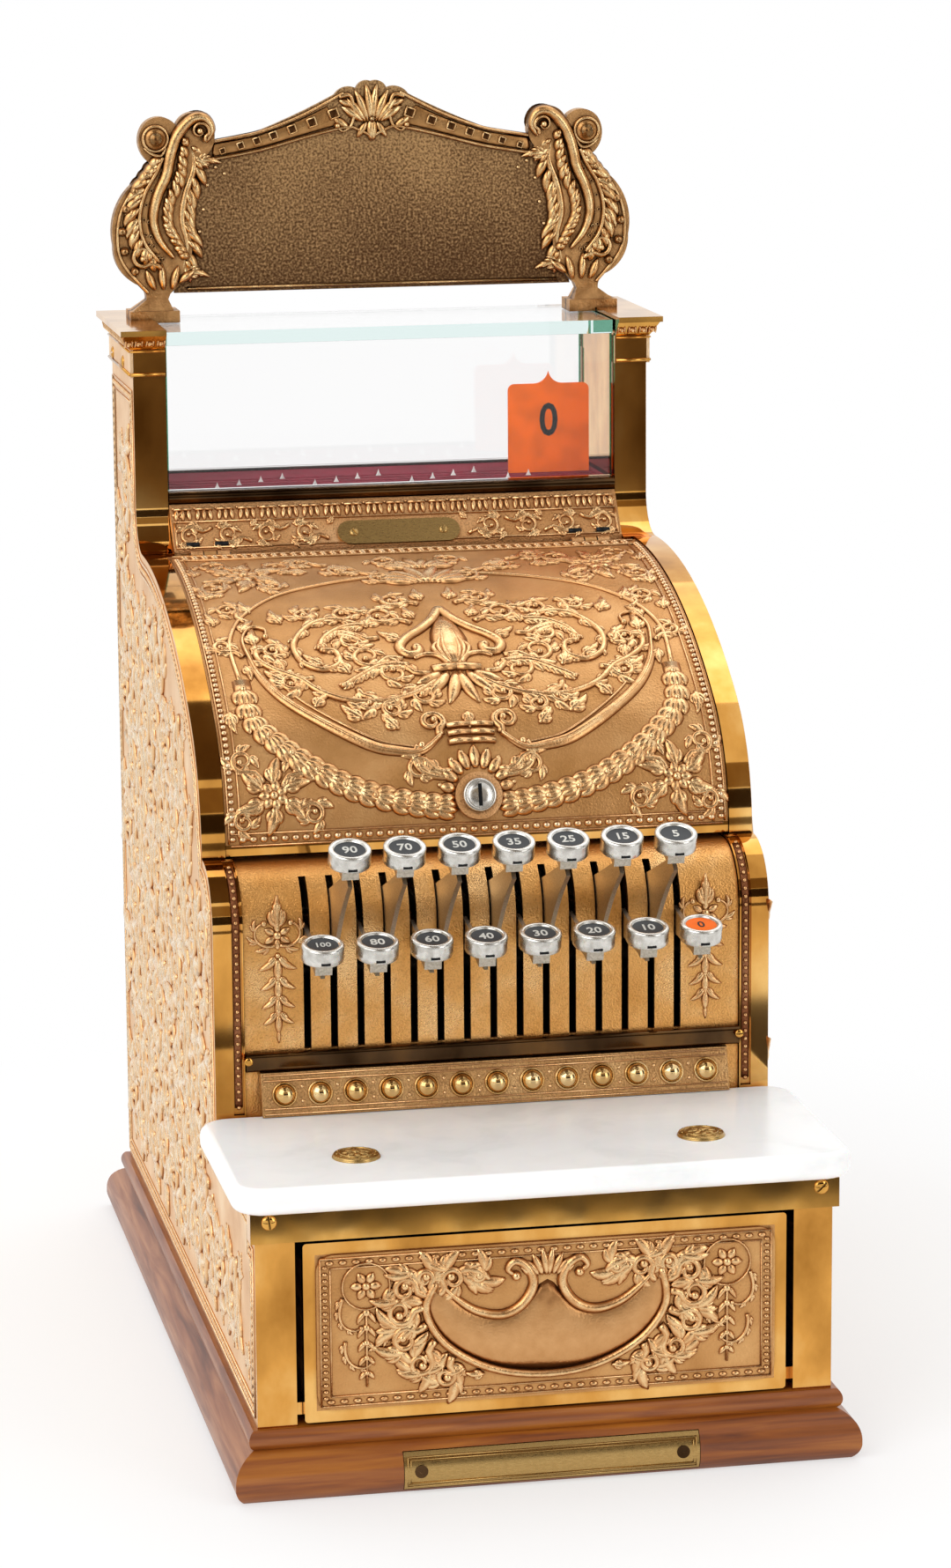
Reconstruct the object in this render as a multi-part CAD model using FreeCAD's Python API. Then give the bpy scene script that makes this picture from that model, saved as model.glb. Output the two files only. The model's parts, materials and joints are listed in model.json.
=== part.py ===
import FreeCAD, Part
import math
import os

# A small counter cash register in gilt brass castings on a moulded wooden plinth.
# X runs to the right, Y to the back and Z up, in millimetres.
# The origin lies under the middle of the plinth.

V = FreeCAD.Vector
X_AXIS = V(1, 0, 0)
Y_AXIS = V(0, 1, 0)
Z_AXIS = V(0, 0, 1)

# ---- driving dimensions ----------------------------------------------------------------

cabinet_width = 235.0        # over the two side castings
cabinet_depth = 400.0        # front of the drawer to the back rim
casting_wall = 5.0           # side castings, rims and bed
cover_wall = 3.0             # lid, frieze and back cover
gap = 0.3                    # between pieces that move past each other
pin_clearance = 0.05         # radial, every pin and shaft

plinth_overhang = 10.5       # beyond the cabinet, all round
plinth_height = 28.0
plinth_rail = 30.0           # width of a moulded rail in plan
plinth_board_thick = 10.0

drawer_opening_height = 77.0
pilaster_width = 16.0
drawer_side_gap = 3.1        # between drawer front and pilaster
drawer_edge_gap = 1.0        # above and below the drawer front
drawer_front_thick = 4.0
drawer_field_rise = 1.2
drawer_field_margin = 5.0
drawer_field_radius = 7.0
latch_room = 49.0            # behind the drawer box, for its catch, latch and spring
drawer_box_wall = 7.0
drawer_headroom = 19.4        # drawer box to the bed over it
drawer_floor_thick = 4.0
drawer_box_side_gap = 4.5    # box side to pilaster line
coin_bay_length = 118.0
divider_thick = 3.0
divider_height = 42.0
runner_width = 20.5
runner_thick = 5.0
runner_height = 3.0          # runner underside above the plinth

rail_height = 12.0
rail_proud = 3.0
rail_depth = 9.0
rail_overlap = 2.0           # beyond the cabinet side

marble_thick = 11.0
marble_overhang_side = 8.5
marble_overhang_front = 7.5
marble_corner_radius = 13.0
marble_edge_radius = 4.0
marble_hole_radius = 3.4
rosette_spacing = 142.0
rosette_inset = 32.0         # rosette centre behind the cabinet front
rosette_radius = 10.0
rosette_rise = 3.0

keyboard_setback = 102.0     # cabinet front to the keyboard flange
keyboard_rise = 113.5        # keyboard top above the underside of the marble
keyboard_corner = 25.5       # radius over its front top edge
key_plate_inset = 1.5        # plate behind the flange
key_plate_thick = 2.5
key_plate_lip = 10.5         # flange of the plate under the lid
keyboard_flange = 12.5       # width of the polished flange beside the plate
bead_groove_width = 4.5
bead_groove_depth = 1.2
bead_groove_inset = 7.5      # from the cabinet side

key_count = 15
key_pitch = 11.2
slot_width = 3.0
slot_bottom = 37.5           # above the underside of the marble
slot_length = 70.5
lever_thick = 1.8
cap_radius = 8.5
cap_height = 7.0
cap_wall = 1.5
dial_recess = 0.8
dial_thick = 1.0
neck_width = 7.0
neck_length = 8.0
neck_height = 5.5
lower_cap_tilt = 13.0
upper_cap_tilt = 18.0
lower_cap_reach = 113.0      # dial centre in front of the key shaft
lower_cap_rise = 39.0        # dial centre above the key shaft
upper_cap_reach = 115.0
upper_cap_rise = 78.0
key_shaft_setback = 73.0     # key shaft behind the keyboard flange
key_shaft_rise = 53.0        # above the underside of the marble
key_shaft_radius = 3.0
hub_radius = 9.0
flag_setback = 18.5          # flag stems behind the front pane
tail_half_height = 4.0
key_stroke = 14.0            # degrees
flag_lift = 44.0             # flag travel for a full key stroke

ledge_height = 8.0           # polished bar under the slots
ledge_proud = 3.5
strip_height = 17.5
strip_lean = 5.0
strip_thick = 2.5
strip_end_gap = 6.0          # stud strip to the polished flange
stud_count = 13
stud_pitch = 14.9
stud_radius = 3.1

hood_flange = 10.0           # width of the polished flange beside the lid
rim_width = 16.0             # back rim and the ledges inside a side casting
hood_setback = 28.25         # lid bottom behind the keyboard flange
hood_skirt = 1.5             # straight part below the curve
hood_radius = 64.0           # lower curve of the lid
hood_rise = 100.5            # top of the lid above the keyboard top
hood_inset = 0.8             # lid surface below the flange
lid_web_depth = 9.0          # stiffening webs inside the lid
cove_radius = 18.0
cove_land = 5.0
pillar_depth = 75.5          # front of the pillar to the back rim
pillar_width = 14.7
block_height = 12.5
block_proud = 1.3

frieze_slope_run = 15.0
sill_height = 5.7
window_height = 65.5         # sill top to the underside of the top pane
pane_thick = 3.0
top_pane_thick = 6.0
cap_flare = 7.0
cap_overhang = 6.0
cap_height_total = 9.0
cap_slab = 2.5

flag_spacing = 6.8           # between neighbours in one layer
flag_height = 41.0
flag_peak = 5.6
flag_thick = 1.2
flag_layers = 4
flag_layer_pitch = 8.0
stem_thick = 1.6
stem_width = 4.0
deck_thick = 2.0
deck_slot = 2.8
comb_thick = 3.0

sign_thick = 3.0
bracket_thick = 7.0
sign_setback = 28.0          # sign in front of the back rim

slab_depth = 17.0            # foot of each sign bracket
slab_thick = 3.6
plate_half_length = 60.3     # bare plate on the plinth
plate_low = 1.5
plate_height = 15.0
plate_thick = 1.2
oval_half_length = 28.0      # bare plate on the frieze
oval_half_height = 6.0
oval_level = 0.24            # share of the slope that lies below its middle

bell_radius = 24.0
hammer_throw = 13.0          # degrees
latch_throw = 19.0           # degrees
catch_reach = 10.5            # from the drawer's back to the lip of its catch
catch_half = 6.0

# ---- levels and lines that follow from them ----------------------------------------------

half_width = cabinet_width / 2
front = -cabinet_depth / 2
back = cabinet_depth / 2
opening_half = half_width - pilaster_width

drawer_top = plinth_height + drawer_opening_height
shelf_bottom = drawer_top + rail_height
marble_top = shelf_bottom + marble_thick
keyboard_front = front + keyboard_setback
keyboard_top = shelf_bottom + keyboard_rise
plate_front = keyboard_front + key_plate_inset
plate_half = half_width - keyboard_flange

bed_top = shelf_bottom - gap
bed_bottom = bed_top - casting_wall

hood_front = keyboard_front + hood_setback
hood_spring = keyboard_top + hood_skirt
hood_top = keyboard_top + hood_rise
pillar_front = back - pillar_depth
cove_start = pillar_front - cove_radius
hood_level = cove_start - cove_land

# the upper curve is tangent to the lower one and level where it meets the cove land
lower_centre = (hood_front + hood_radius, hood_spring)
run = hood_level - lower_centre[0]
rise = hood_spring - hood_top
upper_radius = (hood_radius**2 - run**2 - rise**2) / (2 * (rise + hood_radius))
upper_centre = (hood_level, hood_top - upper_radius)

sill_bottom = hood_top + cove_radius + 1.3
sill_top = sill_bottom + sill_height
window_top = sill_top + window_height
pane_bottom = sill_top + gap
cap_bottom = window_top - 1.0
cap_top = cap_bottom + cap_height_total
top_pane_bottom = window_top
top_pane_top = top_pane_bottom + top_pane_thick

shaft_y = keyboard_front + key_shaft_setback
shaft_z = shelf_bottom + key_shaft_rise
pane_front = pillar_front + 4.0
rear_pane_back = back - 3.0
stem_y = pane_front + pane_thick + flag_setback
tail_length = stem_y - shaft_y
flag_bottom = sill_top - 1.0 - flag_lift
flag_width = flag_layers * key_pitch - flag_spacing
stem_foot = shaft_z + tail_half_height + gap

deck_bottom = sill_bottom + 2.7

drawer_half = opening_half - drawer_side_gap
drawer_bottom = plinth_height + drawer_edge_gap
box_half = opening_half - drawer_box_side_gap
runner_top = plinth_height + runner_height + runner_thick
box_bottom = runner_top + gap
box_front = front + drawer_front_thick
box_back = back - latch_room
box_top = bed_bottom - drawer_headroom

hinge_y = hood_level + 4.5
hinge_z = hood_top - 1.8
hinge_pin_radius = 1.4
knuckle_radius = 2.6
knuckle_length = 5.4
knuckle_start = 78.3
frieze_front = hinge_y + 2.9
slope_foot = hinge_z + 2.6

lock_height = 19.0           # lock axis above the spring of the lid curve
lock_radius = 7.0
lock_collar = 10.0
lock_proud = 3.0
lock_length = 17.0

# ---- small helpers ------------------------------------------------------------------------


def block(x0, x1, y0, y1, z0, z1):
    return Part.makeBox(x1 - x0, y1 - y0, z1 - z0, V(x0, y0, z0))


def rod(start, axis, radius, length):
    return Part.makeCylinder(radius, length, start, axis)


def outline(place, start, steps):
    """A closed wire: each step is a point, or a pair (middle, end) for an arc."""
    edges = []
    here = start
    for step in steps + [start]:
        if isinstance(step[0], tuple):
            middle, end = step
            edges.append(Part.Arc(place(*here), place(*middle), place(*end)).toShape())
        else:
            end = step
            if math.dist(here, end) < 1e-6:
                continue
            edges.append(Part.LineSegment(place(*here), place(*end)).toShape())
        here = end
    return Part.Wire(edges)


def along_x(x0, x1, start, steps):
    wire = outline(lambda y, z: V(x0, y, z), start, steps)
    return Part.Face(wire).extrude(V(x1 - x0, 0, 0))


def along_y(y0, y1, start, steps):
    wire = outline(lambda x, z: V(x, y0, z), start, steps)
    return Part.Face(wire).extrude(V(0, y1 - y0, 0))


def along_z(z0, z1, start, steps):
    wire = outline(lambda x, y: V(x, y, z0), start, steps)
    return Part.Face(wire).extrude(V(0, 0, z1 - z0))


def polar(centre, radius, angle):
    """Point at an angle in degrees from the first axis of the plane."""
    a = math.radians(angle)
    return (centre[0] + radius * math.cos(a), centre[1] + radius * math.sin(a))


def arc(centre, radius, start_angle, end_angle):
    """The (middle, end) step of an arc about a centre."""
    middle = (start_angle + end_angle) / 2
    return (polar(centre, radius, middle), polar(centre, radius, end_angle))


def rounded_plate(x0, x1, y0, y1, z0, z1, radius, axis):
    """A box with the four edges along an axis rounded."""
    solid = block(x0, x1, y0, y1, z0, z1)
    edges = []
    for edge in solid.Edges:
        way = edge.Vertexes[1].Point - edge.Vertexes[0].Point
        if way.cross(axis).Length < 1e-6:
            edges.append(edge)
    return solid.makeFillet(radius, edges)


def level_rectangle(x0, x1, y0, y1, z):
    return Part.makePolygon([V(x0, y0, z), V(x1, y0, z), V(x1, y1, z), V(x0, y1, z), V(x0, y0, z)])


def mirrored(solid):
    return solid.mirror(V(0, 0, 0), X_AXIS)


def both_sides(solid):
    return [solid, mirrored(solid)]


def fused(solids):
    return solids[0].fuse(solids[1:]).removeSplitter()


def turned(solid, centre, axis, angle):
    copy = solid.copy()
    copy.rotate(centre, axis, angle)
    return copy


# ---- curves shared by the side castings, the key plate and the lid --------------------------


def keyboard_band(x0, x1, outer, inner, foot, lip):
    """Upright front and rounded shoulder of the keyboard, between two insets."""
    centre = (keyboard_front + keyboard_corner, keyboard_top - keyboard_corner)
    steps = [
        (keyboard_front + outer, centre[1]),
        arc(centre, keyboard_corner - outer, 180, 90),
        (lip, keyboard_top - outer),
        (lip, keyboard_top - inner),
        (centre[0], keyboard_top - inner),
        arc(centre, keyboard_corner - inner, 90, 180),
        (keyboard_front + inner, foot),
    ]
    return along_x(x0, x1, (keyboard_front + outer, foot), steps)


def tangent_angle():
    """Direction from the upper curve's centre through the point where the curves meet."""
    return math.degrees(math.atan2(lower_centre[1] - upper_centre[1], lower_centre[0] - upper_centre[0]))


def hood_curve(inset, foot):
    """Steps up the hood's profile at an inset, from its foot to its level end."""
    join = tangent_angle()
    start = (hood_front + inset, foot)
    steps = [
        (hood_front + inset, hood_spring),
        arc(lower_centre, hood_radius - inset, 180, join),
        arc(upper_centre, upper_radius - inset, join, 90),
    ]
    return start, steps


def hood_curve_back(inset, foot):
    """The same profile walked down again."""
    join = tangent_angle()
    steps = [
        polar(upper_centre, upper_radius - inset, 90),
        arc(upper_centre, upper_radius - inset, 90, join),
        arc(lower_centre, hood_radius - inset, join, 180),
        (hood_front + inset, foot),
    ]
    return steps


def hood_band(x0, x1, outer, inner, foot, end):
    """The hood between two insets, from its foot back to a line at y = end."""
    start, up = hood_curve(outer, foot)
    top = [(end, hood_top - outer), (end, hood_top - inner)]
    return along_x(x0, x1, start, up + top + hood_curve_back(inner, foot))


# ---- plinth -----------------------------------------------------------------------------------


def plinth_moulding(reach):
    """Half profile of the plinth: bullnose foot, ogee and top bead, out to a half width."""
    foot = 3.5
    nose = 13.0
    bead = 4.0
    ledge = reach - 8.0
    return [
        (reach - foot, 0.0),
        ((reach - 1.0, 3.0), (reach, nose / 2 + 2.0)),
        ((reach - 0.6, nose - 1.0), (reach - 2.0, nose + 2.0)),
        ((reach - 5.0, nose + 5.0), (ledge - 0.5, plinth_height - 2 * bead)),
        ((ledge + bead / 2 - 0.5, plinth_height - bead), (ledge - 0.5, plinth_height)),
    ]


def front_skin(half_length, z0, z1, depth):
    """Outer layer of the plinth's front moulding, down to a depth."""
    reach = cabinet_depth / 2 + plinth_overhang
    layers = []
    for inset in (0.0, depth):
        steps = [mirror_step(step) for step in plinth_moulding(reach - inset)]
        layers.append(along_x(-half_length, half_length, (0.0, 0.0), steps + [(0.0, plinth_height)]))
    return layers[0].cut(layers[1]).common(block(-half_length, half_length, -reach, -reach / 2, z0, z1))


def plinth():
    half_x = half_width + plinth_overhang
    half_y = cabinet_depth / 2 + plinth_overhang
    right = plinth_moulding(half_x)
    left = [mirror_step(step) for step in reversed_steps(right)]
    along_depth = along_y(-half_y, half_y, (0.0, 0.0), right + left)
    side = plinth_moulding(half_y)
    other = [mirror_step(step) for step in reversed_steps(side)]
    along_width = along_x(-half_x, half_x, (0.0, 0.0), side + other)
    moulded = along_depth.common(along_width)
    inner_x = half_x - plinth_rail
    inner_y = half_y - plinth_rail
    big = 2 * half_y
    front_wedge = [(inner_x, -inner_y), (-inner_x, -inner_y), (-inner_x - big, -inner_y - big)]
    rear_wedge = [(inner_x, inner_y), (-inner_x, inner_y), (-inner_x - big, inner_y + big)]
    side_wedge = [(inner_x, inner_y), (inner_x, -inner_y), (inner_x + big, -inner_y - big)]
    rails = [
        moulded.common(along_z(0, plinth_height, (inner_x + big, -inner_y - big), front_wedge)),
        moulded.common(along_z(0, plinth_height, (inner_x + big, inner_y + big), rear_wedge)),
        moulded.common(along_z(0, plinth_height, (inner_x + big, inner_y + big), side_wedge)),
    ]
    rails.append(mirrored(rails[2]))
    board_top = plinth_height - 3.0
    tongue = 8.0
    rebate = block(
        -inner_x - tongue, inner_x + tongue, -inner_y - tongue, inner_y + tongue,
        board_top - plinth_board_thick, board_top,
    )
    rails = [rail.cut(rebate) for rail in rails]
    seat = front_skin(
        plate_half_length + 0.3, plate_low - 0.3, plate_low + plate_height + 0.3, plate_thick + gap
    )
    rails[0] = rails[0].cut(seat)
    return rails + [rebate]


def mirror_step(step):
    if isinstance(step[0], tuple):
        middle, end = step
        return ((-middle[0], middle[1]), (-end[0], end[1]))
    return (-step[0], step[1])


def reversed_steps(steps):
    """The same outline walked backwards, starting at its last point."""
    ends = [step[1] if isinstance(step[0], tuple) else step for step in steps]
    back_steps = [ends[-1]]
    for i in range(len(steps) - 1, 0, -1):
        if isinstance(steps[i][0], tuple):
            back_steps.append((steps[i][0], ends[i - 1]))
        else:
            back_steps.append(ends[i - 1])
    return back_steps


# ---- side castings ------------------------------------------------------------------------------


def side_outline(x0, x1):
    """Whole side of the cabinet: drawer box, keyboard shoulder, hood, cove and pillar."""
    shoulder = (keyboard_front + keyboard_corner, keyboard_top - keyboard_corner)
    _, hood = hood_curve(0.0, keyboard_top)
    cove = (cove_start, hood_top + cove_radius)
    steps = [
        (front, drawer_top),
        (front + rail_depth - rail_proud, drawer_top),
        (front + rail_depth - rail_proud, shelf_bottom),
        (keyboard_front, shelf_bottom),
        (keyboard_front, shoulder[1]),
        arc(shoulder, keyboard_corner, 180, 90),
        (hood_front, keyboard_top),
    ]
    steps += hood
    steps += [
        (cove_start, hood_top),
        arc(cove, cove_radius, 270, 360),
        (pillar_front, cap_bottom),
        (back, cap_bottom),
        (back, plinth_height),
    ]
    return along_x(x0, x1, (front, plinth_height), steps)


def side_casting():
    """Right side: a wall with its flanges, pilaster, pillar and runner cast on."""
    outer = half_width
    inner = half_width - rim_width
    wall = outer - casting_wall
    cove = (cove_start, hood_top + cove_radius)
    pillar_inner = half_width - pillar_width
    pieces = [
        side_outline(wall, outer),
        block(opening_half, wall, front, front + 12, plinth_height, drawer_top),
        keyboard_band(plate_half, wall, 0.0, casting_wall, shelf_bottom, hood_front + 10),
        hood_band(half_width - hood_flange, wall, 0.0, casting_wall, keyboard_top, cove_start),
        along_x(
            pillar_inner, wall, (cove_start, hood_top),
            [
                arc(cove, cove_radius, 270, 360),
                (pillar_front, cap_bottom),
                (back, cap_bottom),
                (back, sill_bottom),
                (pillar_front + casting_wall, sill_bottom),
                arc((cove_start, hood_top + cove_radius), cove_radius + casting_wall, 360, 270),
            ],
        ),
        block(inner, wall, back - casting_wall, back, plinth_height, sill_bottom),
        block(inner, wall, front + 12, back - casting_wall, plinth_height, plinth_height + runner_height),
        block(
            wall - runner_width, wall, box_front + gap + 1, back - casting_wall,
            plinth_height + runner_height, runner_top,
        ),
        block(inner, wall, front + rail_depth, back - casting_wall, bed_bottom - casting_wall, bed_bottom),
        block(
            pillar_inner - 0.2, outer + block_proud, pillar_front - block_proud, back,
            cap_bottom - block_height, cap_bottom,
        ),
    ]
    casting = fused(pieces)
    groove_outer = half_width - bead_groove_inset
    groove = keyboard_band(
        groove_outer - bead_groove_width, groove_outer, -1.0, bead_groove_depth, marble_top, hood_front - 2
    )
    bolt_holes = [
        rod(V(wall - 1, y, z), X_AXIS, 1.6, casting_wall + 3) for y, z in side_screw_places()
    ]
    return casting.cut([groove] + bolt_holes)


def side_screw_places():
    high = cap_bottom - 8.0
    return [(pillar_front + 24.0, high), (back - 14.0, high)]


# ---- rail, marble, keyboard front -----------------------------------------------------------------


def drawer_rail():
    half = half_width + rail_overlap
    y0 = front - rail_proud
    bar = block(-half, half, y0, y0 + rail_depth, drawer_top, shelf_bottom)
    screw = rod(V(half_width - 5.5, y0 - 1, rail_screw_z()), Y_AXIS, 1.6, rail_depth + 2)
    return bar.cut(both_sides(screw))


def rail_screw_z():
    return shelf_bottom - 3.4


def marble_shelf():
    half = half_width + marble_overhang_side
    y0 = front - marble_overhang_front
    y1 = keyboard_front - gap
    slab = rounded_plate(-half, half, y0, y1, shelf_bottom, marble_top, marble_corner_radius, Z_AXIS)
    rims = [edge for edge in slab.Edges if on_level(edge, shelf_bottom) or on_level(edge, marble_top)]
    slab = slab.makeFillet(marble_edge_radius, rims)
    hole = rod(V(rosette_spacing / 2, front + rosette_inset, shelf_bottom - 1), Z_AXIS, marble_hole_radius, 30)
    return slab.cut(both_sides(hole))


def on_level(edge, z):
    box = edge.BoundBox
    return abs(box.ZMin - z) < 1e-4 and abs(box.ZMax - z) < 1e-4


def slot_centres():
    middle = (key_count - 1) / 2
    return [(i - middle) * key_pitch for i in range(key_count)]


def key_plate():
    outer = key_plate_inset
    plate = keyboard_band(
        -plate_half + gap, plate_half - gap, outer, outer + key_plate_thick,
        bed_top, hood_front + key_plate_lip - 3,
    )
    z0 = shelf_bottom + slot_bottom
    slots = [
        block(
            x - slot_width / 2, x + slot_width / 2, keyboard_front - 2, keyboard_front + 20,
            z0, z0 + slot_length,
        )
        for x in slot_centres()
    ]
    return plate.cut(slots)


def key_ledge():
    """Polished half-round bar under the slots."""
    z1 = shelf_bottom + slot_bottom - 0.4
    z0 = z1 - ledge_height
    y1 = plate_front
    y0 = y1 - ledge_proud
    steps = [
        (y0 + 2, z0),
        ((y0 + 0.6, z0 + 0.6), (y0, z0 + 2)),
        (y0, z1 - 2),
        ((y0 + 0.6, z1 - 0.6), (y0 + 2, z1)),
        (y1, z1),
    ]
    return along_x(-plate_half + gap, plate_half - gap, (y1, z0), steps)


def stud_strip():
    """Leaning strip behind the marble with a row of domed studs."""
    y0 = plate_front - 1.2 - strip_lean - strip_thick
    z0 = marble_top + gap
    z1 = z0 + strip_height
    half = plate_half - strip_end_gap
    strip = along_x(
        -half, half, (y0, z0),
        [(y0 + strip_lean, z1), (y0 + strip_lean + strip_thick, z1), (y0 + strip_thick, z0)],
    )
    middle = (stud_count - 1) / 2
    outward = V(0, -strip_height, strip_lean)
    outward.normalize()
    domes = []
    for i in range(stud_count):
        x = (i - middle) * stud_pitch
        seat = V(x, y0 + strip_lean / 2, z0 + strip_height / 2)
        domes.append(Part.makeSphere(stud_radius, seat - outward * 0.4, outward, 0, 90, 360))
    return fused([strip] + domes)


# ---- keys ---------------------------------------------------------------------------------------------


def is_upper(index):
    return index % 2 == 1


def cap_place(upper):
    """Dial centre and tilt of a key cap, in the plane of its lever."""
    if upper:
        return (shaft_y - upper_cap_reach, shaft_z + upper_cap_rise), upper_cap_tilt
    return (shaft_y - lower_cap_reach, shaft_z + lower_cap_rise), lower_cap_tilt


def tail_steps():
    """From under the hub, round the nose of the tail and back over the hub."""
    nose = (shaft_y + tail_length, shaft_z)
    return [
        (nose[0], shaft_z - tail_half_height),
        arc(nose, tail_half_height, -90, 90),
        (shaft_y + hub_radius, shaft_z + tail_half_height),
    ]


def lever_blade(x, upper):
    """Flat steel lever: tail, hub and the arm that passes through its slot."""
    plate_y = plate_front - shaft_y
    if upper:
        top = [(plate_y + 6, 50.0), (-upper_cap_reach + 5, 66.5)]
        front_end = (-upper_cap_reach, 62.0)
        under = [((-92.0, 43.0), (plate_y - 3, 22.0)), (plate_y + 4, 17.0), (-14.0, -6.0)]
    else:
        top = [(plate_y + 4, 36.0), (-lower_cap_reach + 5, 29.5)]
        front_end = (-lower_cap_reach + 1, 24.0)
        under = [(-86.0, 24.5), (plate_y + 2, 25.0), (-8.0, -7.0)]
    start = (shaft_y, shaft_z - tail_half_height)
    steps = tail_steps()
    steps.append((shaft_y - 2, shaft_z + hub_radius - 1))
    steps += [shift(p) for p in top]
    steps.append(shift(front_end))
    steps += [shift(p) for p in under]
    blade = along_x(x - lever_thick / 2, x + lever_thick / 2, start, steps)
    hub = rod(V(x - lever_thick / 2, shaft_y, shaft_z), X_AXIS, hub_radius, lever_thick)
    bore = rod(V(x - 5, shaft_y, shaft_z), X_AXIS, key_shaft_radius + pin_clearance, 10)
    return fused([blade, hub]).cut(bore)


def shift(step):
    """Moves a step given from the key shaft into the row frame."""
    if isinstance(step[0], tuple):
        return (shift(step[0]), shift(step[1]))
    return (shaft_y + step[0], shaft_z + step[1])


def key(index):
    """Lever with its neck, the nickel ring and the dial that sits in it."""
    x = slot_centres()[index]
    upper = is_upper(index)
    (cap_y, cap_z), tilt = cap_place(upper)
    dial_centre = V(x, cap_y, cap_z)
    base = V(x, cap_y, cap_z - cap_height)
    cup = Part.makeCylinder(cap_radius, cap_height, base)
    cup = cup.makeChamfer(0.5, [e for e in cup.Edges if on_level(e, cap_z)])
    inner = cap_radius - cap_wall
    dial_bottom = cap_z - dial_recess - dial_thick
    recess = Part.makeCylinder(inner, cap_height, V(x, cap_y, dial_bottom))
    cup = cup.cut(recess)
    dial = Part.makeCylinder(inner - 0.05, dial_thick, V(x, cap_y, dial_bottom))
    neck = block(
        x - neck_width / 2, x + neck_width / 2, cap_y - neck_length / 2, cap_y + neck_length / 2,
        cap_z - cap_height - neck_height, cap_z - cap_height,
    )
    cup = turned(cup, dial_centre, X_AXIS, tilt)
    dial = turned(dial, dial_centre, X_AXIS, tilt)
    neck = turned(neck, dial_centre, X_AXIS, tilt)
    lever = fused([lever_blade(x, upper), neck]).cut(cup)
    return [lever, cup, dial]


# ---- flags ---------------------------------------------------------------------------------------------


def layer_y(index):
    middle = (flag_layers - 1) / 2
    return stem_y + 2.0 + (index % flag_layers - middle) * flag_layer_pitch


def flag(index):
    """Indicator plate with a small peak, riveted to a flat stem that stands on the key's tail."""
    x = slot_centres()[index]
    raised = flag_lift if index == key_count - 1 else 0.0
    y = layer_y(index)
    half = flag_width / 2
    z0 = flag_bottom
    shoulder = z0 + flag_height
    corner = 3.0
    plate = along_y(
        y - flag_thick / 2, y + flag_thick / 2, (x - half, z0),
        [
            (x - half, shoulder - corner),
            arc((x - half + corner, shoulder - corner), corner, 180, 90),
            (x - 6.5, shoulder),
            ((x - 2.6, shoulder + 1.4), (x, shoulder + flag_peak)),
            ((x + 2.6, shoulder + 1.4), (x + 6.5, shoulder)),
            (x + half - corner, shoulder),
            arc((x + half - corner, shoulder - corner), corner, 90, 0),
            (x + half, z0),
        ],
    )
    joggle_low = comb_z() + comb_thick + 8.0
    joggle_high = joggle_low + 20.0
    foot = stem_width / 2
    y_front = y + flag_thick / 2
    tab_top = z0 + 14.0
    stem = along_x(
        x - stem_thick / 2, x + stem_thick / 2, (stem_y - foot, stem_foot + foot),
        [
            (stem_y - foot, joggle_low),
            (y_front, joggle_high),
            (y_front, tab_top),
            (y_front + stem_width, tab_top),
            (y_front + stem_width, joggle_high),
            (stem_y + foot, joggle_low),
            (stem_y + foot, stem_foot + foot),
            ((stem_y, stem_foot), (stem_y - foot, stem_foot + foot)),
        ],
    )
    pieces = [plate, stem]
    for piece in pieces:
        piece.translate(V(0, 0, raised))
    return pieces


def comb_z():
    return stem_foot + 54.0


def guide_comb():
    half = plate_half - 5.0
    y0 = stem_y - 9.0
    y1 = stem_y + 9.0
    z0 = comb_z()
    bar = block(-half, half, y0, y1, z0, z0 + comb_thick)
    side = stem_width / 2 + 0.5
    slots = [
        block(x - stem_thick / 2 - 0.4, x + stem_thick / 2 + 0.4, stem_y - side, stem_y + side, z0 - 1, z0 + 9)
        for x in slot_centres()
    ]
    return bar.cut(slots)


def flag_deck():
    half = half_width - pillar_width - 1.5
    y0 = pane_front + pane_thick + 1.8
    y1 = rear_pane_back - pane_thick - 1.8
    deck = block(-half, half, y0, y1, deck_bottom, deck_bottom + deck_thick)
    slots = []
    for layer in range(flag_layers):
        y = layer_y(layer)
        slots.append(block(-half + 2, half - 2, y - deck_slot / 2, y + deck_slot / 2, deck_bottom - 1, sill_top))
    for index, x in enumerate(slot_centres()):
        y = layer_y(index)
        stem_back = y + flag_thick / 2 + stem_width
        side = stem_thick / 2 + 0.5
        slots.append(block(x - side, x + side, y, stem_back + 0.5, deck_bottom - 1, sill_top))
    return deck.cut(slots)


# ---- mechanism inside ---------------------------------------------------------------------------------


def bed_plate():
    half = half_width - casting_wall - gap
    bed = block(-half, half, front + rail_depth - rail_proud + gap, back - casting_wall - gap, bed_bottom, bed_top)
    hole = rod(V(rosette_spacing / 2, front + rosette_inset, bed_bottom - 1), Z_AXIS, 3.0, 20)
    return bed.cut(both_sides(hole))


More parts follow.
